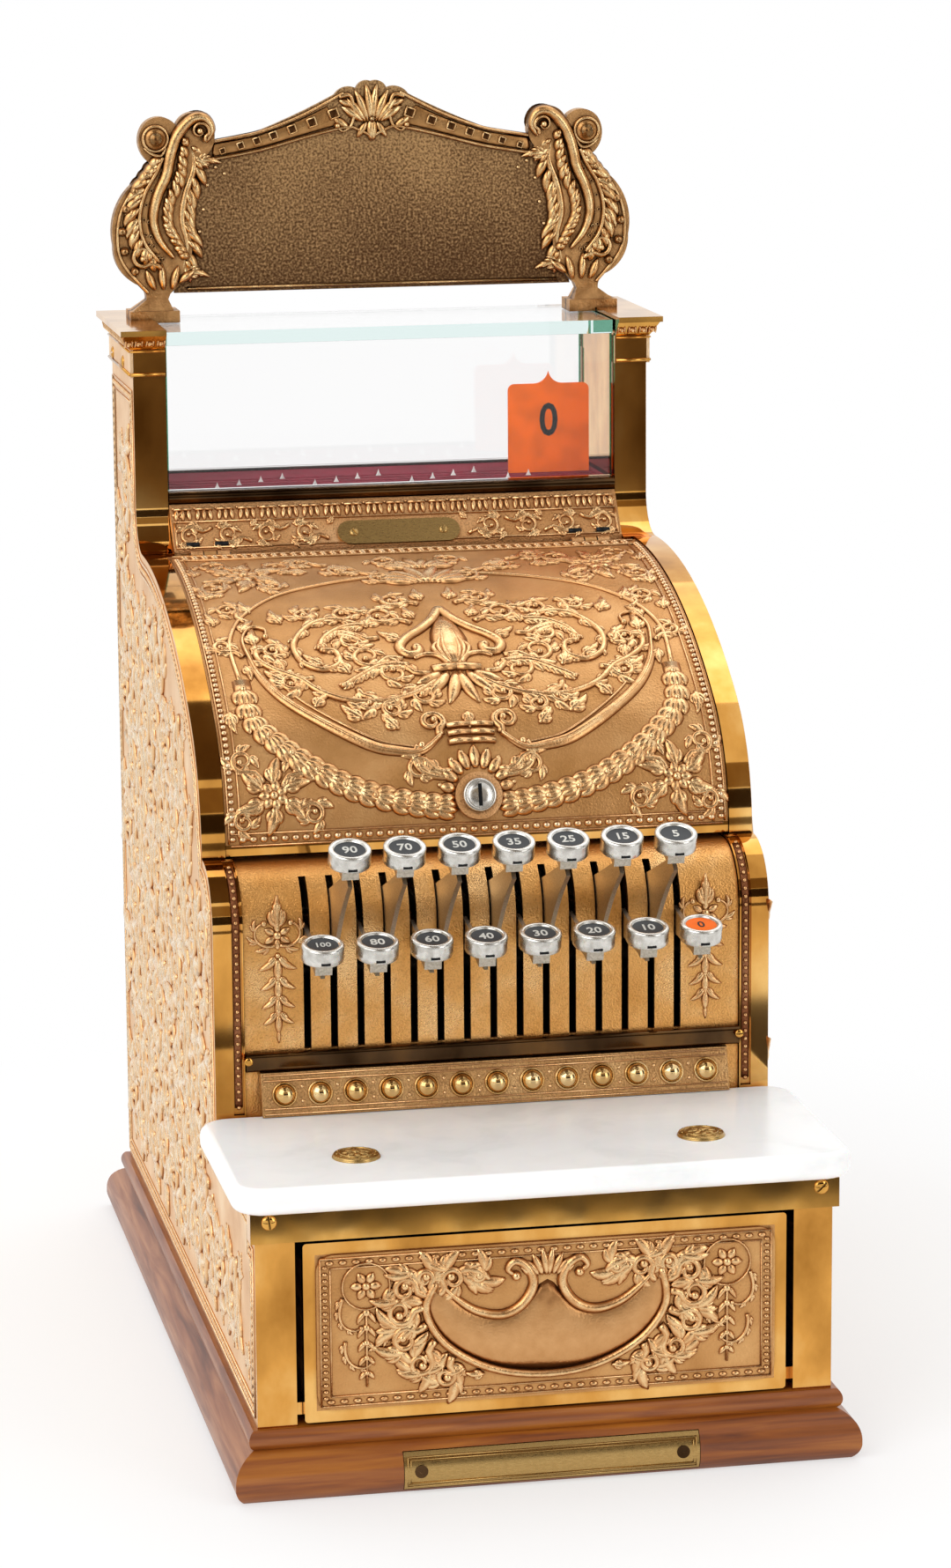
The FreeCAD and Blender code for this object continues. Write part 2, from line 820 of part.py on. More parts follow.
def side_frame():
    """Iron frame on the bed that carries the key shaft, the rest bar and the guide comb."""
    x1 = plate_half - 5.0
    x0 = x1 - 4.0
    arm_top = comb_z()
    rest_y, rest_z = rest_bar_place()
    frame = along_x(
        x0, x1, (shaft_y - 42, bed_top),
        [
            (shaft_y - 12, shaft_z + 4),
            ((shaft_y, shaft_z + 14), (shaft_y + 14, shaft_z + 2)),
            (rest_y - 32, shaft_z - 26),
            (rest_y - 8, rest_z),
            ((rest_y, rest_z + 8), (rest_y + 8, rest_z + 1)),
            (stem_y - 10, arm_top),
            (stem_y + 14, arm_top),
            (stem_y + 20, bed_top),
        ],
    )
    window = along_x(
        x0 - 1, x1 + 1, (shaft_y - 20, bed_top + 10),
        [(shaft_y - 8, shaft_z - 16), (stem_y - 60, bed_top + 16), (stem_y - 66, bed_top + 10)],
    )
    bores = [
        rod(V(x0 - 1, shaft_y, shaft_z), X_AXIS, key_shaft_radius + pin_clearance, 6),
        rod(V(x0 - 1, rest_y, rest_z), X_AXIS, key_shaft_radius + pin_clearance, 6),
    ]
    return frame.cut([window] + bores)


def rest_bar_place():
    return (stem_y - 30.0, shaft_z - tail_half_height - gap - key_shaft_radius)


latch_y = back - 12.0
latch_z = bed_bottom - 19.7
latch_half = 3.0


def latch_ears():
    ear = block(latch_half + 0.5, latch_half + 3.5, latch_y - 5, latch_y + 5, latch_z - 5, bed_bottom)
    bore = rod(V(0, latch_y, latch_z), X_AXIS, 2.0 + pin_clearance, 12)
    return both_sides(ear.cut(bore))


hammer_x = 32.0
hammer_y = back - 19.0
hammer_z = bed_top + 9.0


def hammer_post():
    post = block(hammer_x - 4, hammer_x + 4, hammer_y - 5.5, hammer_y - 2.5, bed_top, hammer_z + 4)
    return post.cut(rod(V(hammer_x, hammer_y - 8, hammer_z), Y_AXIS, 1.5 + pin_clearance, 8))


def mechanism_frame():
    return [bed_plate()] + both_sides(side_frame()) + latch_ears() + [hammer_post()]


def pivot_shafts():
    half = plate_half - 5.0
    rest_y, rest_z = rest_bar_place()
    shafts = [
        rod(V(-half, shaft_y, shaft_z), X_AXIS, key_shaft_radius, 2 * half),
        rod(V(-half, rest_y, rest_z), X_AXIS, key_shaft_radius, 2 * half),
        rod(V(-latch_half - 4, latch_y, latch_z), X_AXIS, 2.0, 2 * latch_half + 8),
        rod(V(hammer_x, hammer_y - 7, hammer_z), Y_AXIS, 1.5, 12),
    ]
    length = 3 * knuckle_length + 1.2
    shafts += both_sides(rod(V(knuckle_start - 0.6, hinge_y, hinge_z), X_AXIS, hinge_pin_radius, length + 0.8))
    return shafts


def bell_gong():
    """Pressed dome on a post from the back cover."""
    x = hammer_x + bell_radius + 0.8
    z = hammer_z + 26.0
    apex = back - 27.0
    rim = back - 13.0
    wall = 1.2
    steps = [
        (4.0, apex),
        ((bell_radius * 0.72, apex + 3.6), (bell_radius, rim)),
        (bell_radius - wall, rim),
        ((bell_radius * 0.72 - 0.8, apex + 3.6 + wall), (4.0, apex + wall)),
        (0.0, apex + wall),
    ]
    wire = outline(lambda r, y: V(r, y, 0), (0.0, apex), steps)
    dome = Part.Face(wire).revolve(V(0, 0, 0), Y_AXIS, 360)
    dome.translate(V(x, 0, z))
    post = rod(V(x, apex - 2, z), Y_AXIS, 2.5, back - apex + 2)
    return fused([dome, post])


def bell_hammer():
    arm = block(hammer_x - 1.5, hammer_x + 1.5, hammer_y - 2.0, hammer_y + 1.0, hammer_z - 4, hammer_z + 25)
    hub = rod(V(hammer_x, hammer_y - 2.0, hammer_z), Y_AXIS, 4.0, 3.0)
    head = Part.makeSphere(3.6, V(hammer_x, hammer_y - 0.5, hammer_z + 26))
    bore = rod(V(hammer_x, hammer_y - 9, hammer_z), Y_AXIS, 1.5 + pin_clearance, 20)
    hammer = fused([arm, hub, head]).cut(bore)
    return turned(hammer, V(hammer_x, hammer_y, hammer_z), Y_AXIS, -hammer_throw - 2)


def drawer_latch():
    """Hooked lever that drops in front of the catch on the drawer's back."""
    tooth_y = box_back + 5.0
    arm = along_x(
        -latch_half, latch_half, (latch_y - 3, latch_z - 3),
        [
            (latch_y - 12, latch_z + 7.5),
            (tooth_y + 4, latch_z + 8.5),
            (tooth_y + 4, latch_z + 3.7),
            (tooth_y, latch_z + 3.7),
            (tooth_y, latch_z + 12.5),
            ((latch_y - 12, latch_z + 12), (latch_y + 3, latch_z + 3)),
        ],
    )
    hub = rod(V(-latch_half, latch_y, latch_z), X_AXIS, 4.5, 2 * latch_half)
    return fused([arm, hub]).cut(rod(V(-9, latch_y, latch_z), X_AXIS, 2.0 + pin_clearance, 18))


def drawer_spring():
    """Coil on the back cover that pushes the drawer out, on its stud."""
    coil_radius = 8.0
    wire_radius = 1.1
    start = box_back + 1.2 + wire_radius
    length = back - start - wire_radius - 0.1
    turns = 5
    z = box_bottom + 22.0
    helix = Part.makeHelix(length / turns, length, coil_radius)
    helix.rotate(V(0, 0, 0), X_AXIS, -90)
    helix.translate(V(-60, start, z))
    first = helix.Edges[0]
    at = first.valueAt(first.FirstParameter)
    way = first.tangentAt(first.FirstParameter)
    section = Part.Wire(Part.Circle(at, way, wire_radius).toShape())
    coil = Part.Wire(helix.Edges).makePipeShell([section], True, True)
    stud = rod(V(-60, back - 18, z), Y_AXIS, 5.0, 18)
    return [coil, stud]


# ---- drawer ------------------------------------------------------------------------------------------------


def drawer_front():
    top = drawer_top - drawer_edge_gap - 1.0
    plate = rounded_plate(-drawer_half, drawer_half, front, box_front, drawer_bottom, top, 1.5, Y_AXIS)
    m = drawer_field_margin
    field = rounded_plate(
        -drawer_half + m, drawer_half - m, front - drawer_field_rise, front + 1,
        drawer_bottom + m, top - m, drawer_field_radius, Y_AXIS,
    )
    return fused([plate, field])


def drawer_box():
    """Wooden box: floor, four boards and the steel catch on its back."""
    w = drawer_box_wall
    z0 = box_bottom
    floor_top = z0 + drawer_floor_thick
    z1 = box_top
    floor = block(-box_half, box_half, box_front, box_back, z0, floor_top)
    sides = both_sides(block(box_half - w, box_half, box_front, box_back, floor_top, z1))
    front_board = block(-box_half + w, box_half - w, box_front, box_front + w, floor_top, z1)
    back_board = block(-box_half + w, box_half - w, box_back - w, box_back, floor_top, z1)
    catch_z = z1 - 8.0
    lip = box_back + catch_reach
    catch_foot = block(-catch_half, catch_half, box_back, lip + 2, catch_z - 3, catch_z)
    catch_lip = block(-catch_half, catch_half, lip, lip + 2, catch_z, catch_z + 6)
    return [floor] + sides + [front_board, back_board, catch_foot, catch_lip]


def bay_edges():
    """The drawer's inside: half width, front, cross board and back."""
    w = drawer_box_wall
    y0 = box_front + w
    return box_half - w, y0, y0 + coin_bay_length, box_back - w


def drawer_dividers():
    inside, y0, y_cross, y1 = bay_edges()
    z0 = box_bottom + drawer_floor_thick
    z1 = z0 + divider_height
    t = divider_thick
    boards = [block(-inside, inside, y_cross - t / 2, y_cross + t / 2, z0, z1)]
    coin_bays = 5
    note_bays = 4
    for i in range(1, coin_bays):
        x = -inside + 2 * inside * i / coin_bays
        boards.append(block(x - t / 2, x + t / 2, y0, y_cross - t / 2, z0, z1))
    for i in range(1, note_bays):
        x = -inside + 2 * inside * i / note_bays
        boards.append(block(x - t / 2, x + t / 2, y_cross + t / 2, y1, z0, z1))
    return boards


# ---- lid, frieze, window ---------------------------------------------------------------------------------------


def knuckle(x0, length, radius):
    return rod(V(x0, hinge_y, hinge_z), X_AXIS, radius, length)


def hinge_places():
    """Starts of the fixed, moving and fixed knuckles on the right."""
    step = knuckle_length + 0.6
    return [knuckle_start, knuckle_start + step, knuckle_start + 2 * step]


def lid():
    half = half_width - hood_flange - gap
    outer = hood_inset
    foot = keyboard_top + 0.5
    end = hinge_y - 1.2
    shell = hood_band(-half, half, outer, outer + cover_wall, foot, end)
    web = hood_band(half - cover_wall, half, outer + 0.5, outer + lid_web_depth, foot, hood_level - 4)
    skirt = block(-half, half, hood_front + outer, hood_front + outer + 7, foot, foot + cover_wall)
    boss = turned_boss(lock_collar + 3.0, outer + cover_wall - 0.5, outer + cover_wall + 3.0)
    first, moving, last = hinge_places()
    leaf = block(moving, moving + knuckle_length, end - 4, hinge_y, hinge_z - knuckle_radius, hinge_z + 0.4)
    barrel = knuckle(moving, knuckle_length, knuckle_radius)
    pieces = [shell, skirt, boss] + both_sides(web) + both_sides(leaf) + both_sides(barrel)
    body = fused(pieces)
    clear = knuckle_radius + 0.6
    notches = []
    for x in (first, last):
        notch = block(x - 0.4, x + knuckle_length + 0.4, hinge_y - clear, hinge_y + 9, hinge_z - 9, hinge_z + 9)
        notches += both_sides(notch)
    swing_corner = block(half_width - pillar_width - 2 * gap, half + 1, end - 2.5, end + 1, foot, hood_top + 1)
    notches += both_sides(swing_corner)
    pin = rod(V(knuckle_start - 2, hinge_y, hinge_z), X_AXIS, hinge_pin_radius + pin_clearance, 24)
    lock_hole = turned_boss(lock_radius + 1.6, -5.0, 12.0)
    return body.cut(notches + both_sides(pin) + [lock_hole])


def lock_frame():
    """Point on the lid's surface under the lock, and the outward direction there."""
    join = math.radians(180 - tangent_angle())
    if lock_height < hood_radius * math.sin(join):
        centre, radius = lower_centre, hood_radius
    else:
        centre, radius = upper_centre, upper_radius
    angle = math.asin((hood_spring + lock_height - centre[1]) / (radius - hood_inset))
    out = V(0, -math.cos(angle), math.sin(angle))
    return V(0, centre[0], centre[1]) + out * radius, out


def turned_boss(radius, inset0, inset1):
    """A cylinder on the lock's axis between two depths below the flange line."""
    surface, out = lock_frame()
    return Part.makeCylinder(radius, inset1 - inset0, surface - out * inset1, out)


def lock_case():
    barrel = turned_boss(lock_radius + 1.3, -1.2, lock_length - 3)
    collar = turned_boss(lock_collar, -2.0, hood_inset - 0.05)
    bore = turned_boss(lock_radius + pin_clearance, -8.0, lock_length + 4)
    return fused([barrel, collar]).cut(bore)


def lock_plug():
    """Nickel plug with its key slit, and the cam that hooks behind the key plate."""
    surface, out = lock_frame()
    plug = turned_boss(lock_radius, -lock_proud - 1.2, lock_length)
    slit = block(-0.8, 0.8, -4.5, 4.5, -3.0, 3.0)
    tilt = math.degrees(math.asin(out.z))
    slit.rotate(V(0, 0, 0), X_AXIS, 90 - tilt)
    slit.translate(surface + out * (lock_proud + 1.2))
    cam = block(-4.0, 20.0, -4.0, 4.0, -2.0, 0.0)
    cam.rotate(V(0, 0, 0), X_AXIS, 90 - tilt)
    cam.translate(surface - out * lock_length)
    return fused([plug, cam]).cut(slit)


def frieze_panel():
    """Sloping ornamental panel over the lid's hinge, with the fixed knuckles."""
    half = half_width - pillar_width - gap
    t = cover_wall
    low = (frieze_front, slope_foot)
    high = (frieze_front + frieze_slope_run, sill_bottom)
    panel = along_x(
        -half, half, low,
        [
            high,
            (high[0] + t + 0.6, high[1]),
            (frieze_front + t, hinge_z + 0.8),
            (frieze_front + t, hinge_z - 17),
            (frieze_front, hinge_z - 17),
        ],
    )
    first, moving, last = hinge_places()
    pieces = [panel]
    for x in (first, last):
        leaf = block(x, x + knuckle_length, hinge_y, frieze_front + 1, hinge_z - knuckle_radius, hinge_z)
        pieces += both_sides(leaf)
        pieces += both_sides(knuckle(x, knuckle_length, knuckle_radius))
    pin = rod(V(knuckle_start - 2, hinge_y, hinge_z), X_AXIS, hinge_pin_radius + pin_clearance, 24)
    return fused(pieces).cut(both_sides(pin))


def window_sills():
    half = half_width - pillar_width - gap
    deck_y0 = pane_front + pane_thick + 1.5
    front_sill = along_x(
        -half, half, (pillar_front + 1, sill_bottom),
        [
            ((pillar_front - 1.6, (sill_bottom + sill_top) / 2), (pillar_front + 1, sill_top)),
            (deck_y0, sill_top),
            (deck_y0, deck_bottom - gap),
            (deck_y0 + 3, deck_bottom - gap),
            (deck_y0 + 3, sill_bottom),
        ],
    )
    deck_y1 = rear_pane_back - pane_thick - 1.5
    rear_sill = along_x(
        -half, half, (deck_y1, sill_top),
        [
            (back + 1, sill_top),
            ((back + 3, (sill_bottom + sill_top) / 2), (back + 1, sill_bottom)),
            (deck_y1 - 3, sill_bottom),
            (deck_y1 - 3, deck_bottom - gap),
            (deck_y1, deck_bottom - gap),
        ],
    )
    return [front_sill, rear_sill]


def window_glass():
    half = half_width - pillar_width - gap - 0.2
    top_edge = top_pane_bottom - gap
    return [
        block(-half, half, pane_front, pane_front + pane_thick, pane_bottom, top_edge),
        block(-half, half, rear_pane_back - pane_thick, rear_pane_back, pane_bottom, top_edge),
        block(-half, half, pillar_front + 2, back - 1, top_pane_bottom, top_pane_top),
    ]


def top_cap():
    """Flared capital with its slab on the right pillar."""
    inner = half_width - pillar_width + 0.2
    low = cap_bottom
    mid = cap_top - cap_slab
    x_low = half_width + block_proud
    x_high = half_width + cap_overhang - 1
    y_low = pillar_front - block_proud
    y_high = pillar_front - cap_flare
    rear = back + cap_flare
    lower = level_rectangle(inner, x_low, y_low, back, low)
    upper = level_rectangle(inner, x_high, y_high, rear, mid)
    flare = Part.makeLoft([lower, upper], True, True)
    slab = block(inner, x_high + 1, y_high - 1, rear + 1, mid, cap_top)
    return fused([flare, slab])


def back_cover():
    x = half_width - 3.5
    cover = rounded_plate(-x, x, back, back + cover_wall, plinth_height + 2, sill_bottom - 2, 6, Y_AXIS)
    holes = [
        rod(V(sx * (x - 7), back - 1, z), Y_AXIS, 1.7, 8)
        for sx in (-1, 1) for z in (plinth_height + 12, (plinth_height + sill_bottom) / 2, sill_bottom - 12)
    ]
    return cover.cut(holes)


# ---- sign on top -------------------------------------------------------------------------------------------------


sign_y = back - sign_setback
sign_bottom = cap_top + 11.0
sign_edge = half_width - 25.5     # half width of the field at its foot
scroll_x = half_width - 117.5     # the scrolls' outlines are drawn for a half width of 117.5


def sign_plate():
    """Field with a gable top that rises in a flat ogee to a small crest."""
    z = sign_bottom
    y0 = sign_y - sign_thick / 2
    right = [
        (sign_edge, z),
        (sign_edge - 8.0, z + 50.0),
        (sign_edge - 17.5, z + 65.0),
        ((sign_edge / 2 + 4.0, z + 73.2), (17.0, z + 88.0)),
        ((11.5, z + 91.5), (7.0, z + 90.8)),
        ((4.6, z + 93.6), (0.0, z + 93.8)),
    ]
    left = [mirror_step(step) for step in reversed_steps(right)]
    return along_y(y0, y0 + sign_thick, (0.0, z), right + left[1:])


def sign_bracket():
    """Right scroll: stepped foot, leafy belly and two volutes."""
    z = sign_bottom
    y0 = sign_y - bracket_thick / 2
    outline_steps = [
        (105.0, z - 2.5),
        ((105.6, z + 1.0), (108.5, z + 4.0)),
        ((116.6, z + 11.0), (119.4, z + 22.0)),
        ((118.9, z + 36.0), (112.0, z + 48.0)),
        (100.5, z + 58.0),
        ((107.0, z + 67.0), (105.0, z + 76.0)),
        ((98.0, z + 79.6), (90.0, z + 75.8)),
        ((80.6, z + 81.4), (72.6, z + 73.0)),
        ((73.5, z + 66.0), (80.0, z + 60.0)),
        ((86.0, z + 42.0), (84.0, z + 24.0)),
        ((87.0, z + 8.0), (94.0, z)),
        (95.0, z - 2.5),
    ]
    scroll = along_y(y0, y0 + bracket_thick, (95.0, z - 2.5), outline_steps[:-1])
    scroll.translate(V(scroll_x, 0, 0))
    foot_low = cap_top + slab_thick
    foot_high = z - 2.5
    depth = slab_depth / 2
    inner = half_width - 24.5
    outer = half_width - 6.0
    lower = level_rectangle(inner, outer, sign_y - depth + 2, sign_y + depth - 2, foot_low)
    upper = level_rectangle(inner + 2.0, outer - 6.5, sign_y - depth + 5, sign_y + depth - 5, foot_high)
    pyramid = Part.makeLoft([lower, upper], True, True)
    slab = block(inner - 2.5, outer + 1.5, sign_y - depth, sign_y + depth, cap_top, foot_low)
    edge = half_width - pillar_width - 0.2
    lip = block(inner - 2.5, edge, sign_y - depth, sign_y + depth, top_pane_top + gap, cap_top)
    return fused([scroll, pyramid, slab, lip])


def top_sign():
    field = sign_plate()
    bracket = sign_bracket()
    clearance = bracket.copy()
    clearance.translate(V(-gap, 0, 0))
    field = field.cut(both_sides(bracket) + both_sides(clearance))
    return [field] + both_sides(bracket)


# ---- plates and fasteners ---------------------------------------------------------------------------------------------




def oval_frame():
    """Middle of the frieze slope and its tilt from the vertical."""
    rise_z = sill_bottom - slope_foot
    tilt = math.degrees(math.atan2(frieze_slope_run, rise_z))
    middle = V(0, frieze_front + frieze_slope_run * oval_level, slope_foot + rise_z * oval_level)
    return middle, tilt


def oval_plate():
    middle, tilt = oval_frame()
    straight = oval_half_length - oval_half_height
    plate = along_y(
        -1.0, 0.0, (-straight, -oval_half_height),
        [
            (straight, -oval_half_height),
            arc((straight, 0.0), oval_half_height, -90, 90),
            (-straight, oval_half_height),
            arc((-straight, 0.0), oval_half_height, 90, 270),
        ],
    )
    plate.rotate(V(0, 0, 0), X_AXIS, -tilt)
    plate.translate(middle)
    return plate


def plinth_plate():
    """Bare plate let into the front moulding of the plinth."""
    return front_skin(plate_half_length, plate_low, plate_low + plate_height, plate_thick)


def screw(centre, axis, head_radius, head_rise, shank_radius, shank_length):
    """Oval head on a plain shank; the head's underside sits at the centre point."""
    axis = V(axis.x, axis.y, axis.z)
    axis.normalize()
    sphere_radius = (head_radius**2 + head_rise**2) / (2 * head_rise)
    ball = Part.makeSphere(sphere_radius, centre + axis * (head_rise - sphere_radius))
    head = ball.common(Part.makeCylinder(head_radius, head_rise + 0.1, centre, axis))
    shank = Part.makeCylinder(shank_radius, shank_length, centre - axis * shank_length, axis)
    return head.fuse(shank).removeSplitter()


def fasteners():
    pieces = []
    rosette = screw(
        V(rosette_spacing / 2, front + rosette_inset, marble_top), Z_AXIS,
        rosette_radius, rosette_rise, 2.9, marble_thick + 4.5,
    )
    pieces += both_sides(rosette)
    rail = screw(V(half_width - 5.5, front - rail_proud, rail_screw_z()), V(0, -1, 0), 3.0, 1.2, 1.5, rail_depth - 1)
    pieces += both_sides(rail)
    for y, z in side_screw_places():
        pieces += both_sides(screw(V(half_width + block_proud, y, z), X_AXIS, 2.8, 1.2, 1.5, casting_wall))
    x = half_width - 10.5
    for z in (plinth_height + 12, (plinth_height + sill_bottom) / 2, sill_bottom - 12):
        pieces += both_sides(screw(V(x, back + cover_wall, z), Y_AXIS, 3.2, 1.3, 1.6, cover_wall - 0.2))
    return pieces


# ---- write the pieces ---------------------------------------------------------------------------------------------------


def all_nodes():
    right = side_casting()
    nodes = {
        "plinth": plinth(),
        "name_plates": [plinth_plate(), oval_plate()],
        "side_right": [right],
        "side_left": [mirrored(right)],
        "drawer_rail": [drawer_rail()],
        "marble_shelf": [marble_shelf()],
        "key_plate": [key_plate()],
        "key_ledge": [key_ledge()],
        "stud_strip": [stud_strip()],
        "guide_comb": [guide_comb()],
        "flag_deck": [flag_deck()],
        "mechanism_frame": mechanism_frame(),
        "pivot_shafts": pivot_shafts(),
        "bell_gong": [bell_gong()],
        "bell_hammer": [bell_hammer()],
        "drawer_latch": [drawer_latch()],
        "drawer_spring": drawer_spring(),
        "drawer_front": [drawer_front()],
        "drawer_box": drawer_box(),
        "drawer_dividers": drawer_dividers(),
        "lid": [lid()],
        "lock_case": [lock_case()],
        "lock_plug": [lock_plug()],
        "frieze_panel": [frieze_panel()],
        "window_sills": window_sills(),
        "window_glass": window_glass(),
        "top_caps": both_sides(top_cap()),
        "back_cover": [back_cover()],
        "top_sign": top_sign(),
        "fasteners": fasteners(),
    }
    for index in range(key_count):
        nodes[f"key_{index + 1:02d}"] = key(index)
        nodes[f"flag_{index + 1:02d}"] = flag(index)
    return nodes


os.makedirs("parts", exist_ok=True)
for name, solids in all_nodes().items():
    shape = solids[0] if len(solids) == 1 else Part.makeCompound(solids)
    shape.exportStep(f"parts/{name}.step")
print("flag ratio, metres per radian:", round(flag_lift / 1000 / math.radians(key_stroke), 5))
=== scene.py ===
import bmesh
import bpy
import json
import math
import random
from mathutils import Matrix, Vector

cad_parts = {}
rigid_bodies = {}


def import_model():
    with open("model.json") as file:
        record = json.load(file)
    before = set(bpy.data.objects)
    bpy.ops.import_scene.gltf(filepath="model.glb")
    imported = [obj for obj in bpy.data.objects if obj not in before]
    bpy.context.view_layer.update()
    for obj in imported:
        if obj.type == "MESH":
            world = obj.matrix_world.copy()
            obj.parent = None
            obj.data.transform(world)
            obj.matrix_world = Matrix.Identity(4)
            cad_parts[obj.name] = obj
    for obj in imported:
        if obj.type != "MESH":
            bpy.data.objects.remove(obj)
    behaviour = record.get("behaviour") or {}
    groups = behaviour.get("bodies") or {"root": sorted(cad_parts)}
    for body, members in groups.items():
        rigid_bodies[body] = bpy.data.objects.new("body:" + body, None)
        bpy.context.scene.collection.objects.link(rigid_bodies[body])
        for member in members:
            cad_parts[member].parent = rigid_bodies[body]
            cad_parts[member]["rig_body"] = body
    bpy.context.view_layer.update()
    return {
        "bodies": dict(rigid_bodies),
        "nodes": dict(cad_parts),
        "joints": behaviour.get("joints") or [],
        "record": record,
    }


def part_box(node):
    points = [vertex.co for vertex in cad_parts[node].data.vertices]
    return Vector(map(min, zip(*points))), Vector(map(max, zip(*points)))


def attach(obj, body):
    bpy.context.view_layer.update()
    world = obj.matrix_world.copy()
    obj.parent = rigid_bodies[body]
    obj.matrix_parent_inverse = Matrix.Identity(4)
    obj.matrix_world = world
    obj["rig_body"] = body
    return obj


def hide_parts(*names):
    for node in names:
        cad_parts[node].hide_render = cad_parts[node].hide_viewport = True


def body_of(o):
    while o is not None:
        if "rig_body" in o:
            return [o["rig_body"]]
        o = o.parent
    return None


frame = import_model()
nodes = frame["nodes"]
scene = bpy.context.scene
mm = 0.001

print("stage: camera, floor and lamps")

view = {
    "place": (-0.3759, -1.95183, 0.6569),
    "right": (0.98049246, -0.19642948, -0.00707082),
    "up": (0.04687013, 0.19871727, 0.97893546),
    "lens": 107.87,
    "sensor": 36.0,
}


def makeCamera():
    right, up = Vector(view["right"]), Vector(view["up"])
    back = right.cross(up).normalized()
    turn = Matrix((right, up, back)).transposed().to_4x4()
    data = bpy.data.cameras.new("camera")
    data.lens = view["lens"]
    data.sensor_width = view["sensor"]
    data.clip_end = 60.0
    camera = bpy.data.objects.new("camera", data)
    camera.matrix_world = Matrix.Translation(view["place"]) @ turn
    scene.collection.objects.link(camera)
    scene.camera = camera


makeCamera()
scene.view_settings.view_transform = "Standard"


def tint(code):
    # sRGB hex to a linear colour
    parts = [int(code[i:i + 2], 16) / 255 for i in (1, 3, 5)]
    linear = [c / 12.92 if c <= 0.04045 else ((c + 0.055) / 1.055) ** 2.4 for c in parts]
    return (*linear, 1.0)


def addNode(tree, kind, inputs=None, links=None, stops=None, **settings):
    # one node with its settings, its unlinked values, what feeds it (a node stands for its first output)
    # and, on a ramp, its colours; a shader node goes without the start of its type name
    node = tree.nodes.new(kind if "Node" in kind else "ShaderNode" + kind)
    for name, value in settings.items():
        setattr(node, name, value)
    for name, value in (inputs or {}).items():
        node.inputs[name].default_value = value
    for name, source in (links or {}).items():
        tree.links.new(getattr(source, "outputs", [source])[0], node.inputs[name])
    if stops:
        points = node.color_ramp.elements
        while len(points) < len(stops):
            points.new(0.5)
        for point, (place, colour) in zip(points, stops):
            point.position = place
            point.color = tint(colour)
    return node


def startMaterial(name, **surface):
    material = bpy.data.materials.new(name)
    material.use_nodes = True
    tree = material.node_tree
    tree.nodes.clear()
    shader = addNode(tree, "BsdfPrincipled")
    for socket, value in surface.items():
        shader.inputs[socket.replace("_", " ")].default_value = value
    addNode(tree, "OutputMaterial", links={"Surface": shader})
    return material, tree, shader


def between(low, high, start=0.3, end=0.7):
    # the four values that turn start..end into low..high
    return {"From Min": start, "From Max": end, "To Min": low, "To Max": high}


def grainOf(tree, size, detail=2.0, stretch=(1, 1, 1)):
    # a cloudy pattern on object coordinates, size in millimetres
    place = addNode(tree, "TexCoord").outputs["Object"]
    mapping = addNode(tree, "Mapping", {"Scale": stretch}, {"Vector": place})
    values = {"Scale": 1 / (size * mm), "Detail": detail}
    return addNode(tree, "TexNoise", values, {"Vector": mapping})


def feed(tree, shader, colour=None, rough=None, height=None, depth=0.1, strength=0.5):
    # wires a finish into its shader; the relief is depth millimetres deep
    for socket, source in (("Base Color", colour), ("Roughness", rough)):
        if source is not None:
            tree.links.new(getattr(source, "outputs", [source])[0], shader.inputs[socket])
    if height is not None:
        values = {"Distance": depth * mm, "Strength": strength}
        bump = addNode(tree, "Bump", values, {"Height": height})
        tree.links.new(bump.outputs[0], shader.inputs["Normal"])


def whiteToEye(tree, plain, seen):
    # white for what the camera, metal and glass see, plain for what lights the object
    path = addNode(tree, "LightPath").outputs
    either = path["Is Camera Ray"]
    for ray in ("Is Glossy Ray", "Is Transmission Ray"):
        either = addNode(tree, "Math", links={0: either, 1: path[ray]}, operation="MAXIMUM")
    return addNode(tree, "MixShader", links={0: either, 1: plain, 2: seen})


def lightWorld():
    world = bpy.data.worlds.new("studio")
    world.use_nodes = True
    tree = world.node_tree
    tree.nodes.clear()
    plain, seen = (
        addNode(tree, "Background", {"Color": tint("#FFFFFF"), "Strength": strength})
        for strength in (0.7, 1.0)
    )
    addNode(tree, "OutputWorld", links={"Surface": whiteToEye(tree, plain, seen)})
    scene.world = world


lightWorld()

# name, place, size and watts
lamps = [
    ("key", (-2.3, -1.9, 2.3), (2.8, 2.8), 46.0),
    ("fill", (2.2, -2.6, 1.1), (1.2, 2.2), 13.0),
    ("top", (0.1, 1.1, 2.7), (3.6, 2.4), 28.0),
]


def aim(thing, place):
    # towards the middle of the object
    way = Vector((0, 0, 0.25)) - Vector(place)
    thing.matrix_world = Matrix.Translation(place) @ way.to_track_quat("-Z", "Y").to_matrix().to_4x4()


def makeLamps():
    for name, place, size, watts in lamps:
        data = bpy.data.lights.new(name, "AREA")
        data.shape = "RECTANGLE"
        data.size, data.size_y = size
        data.energy = watts
        thing = bpy.data.objects.new(name, data)
        scene.collection.objects.link(thing)
        aim(thing, place)


makeLamps()


def linkMesh(name, mesh):
    thing = bpy.data.objects.new(name, mesh)
    scene.collection.objects.link(thing)
    return thing


def meshFrom(build, name, *worn):
    # the mesh of a finished build, wearing its finishes in order
    mesh = bpy.data.meshes.new(name)
    build.to_mesh(mesh)
    build.free()
    for finish in worn:
        mesh.materials.append(finish)
    return mesh


def appliedMesh(thing):
    # what an object's modifiers or its text make of it; the object goes
    mesh = bpy.data.meshes.new_from_object(thing.evaluated_get(bpy.context.evaluated_depsgraph_get()))
    bpy.data.objects.remove(thing)
    return mesh


def addPiece(name, mesh, body):
    piece = linkMesh(name, mesh)
    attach(piece, body)
    return piece


floorWork = {"reach": 30.0, "shadowEnds": 0.3, "whiteFrom": 0.5}


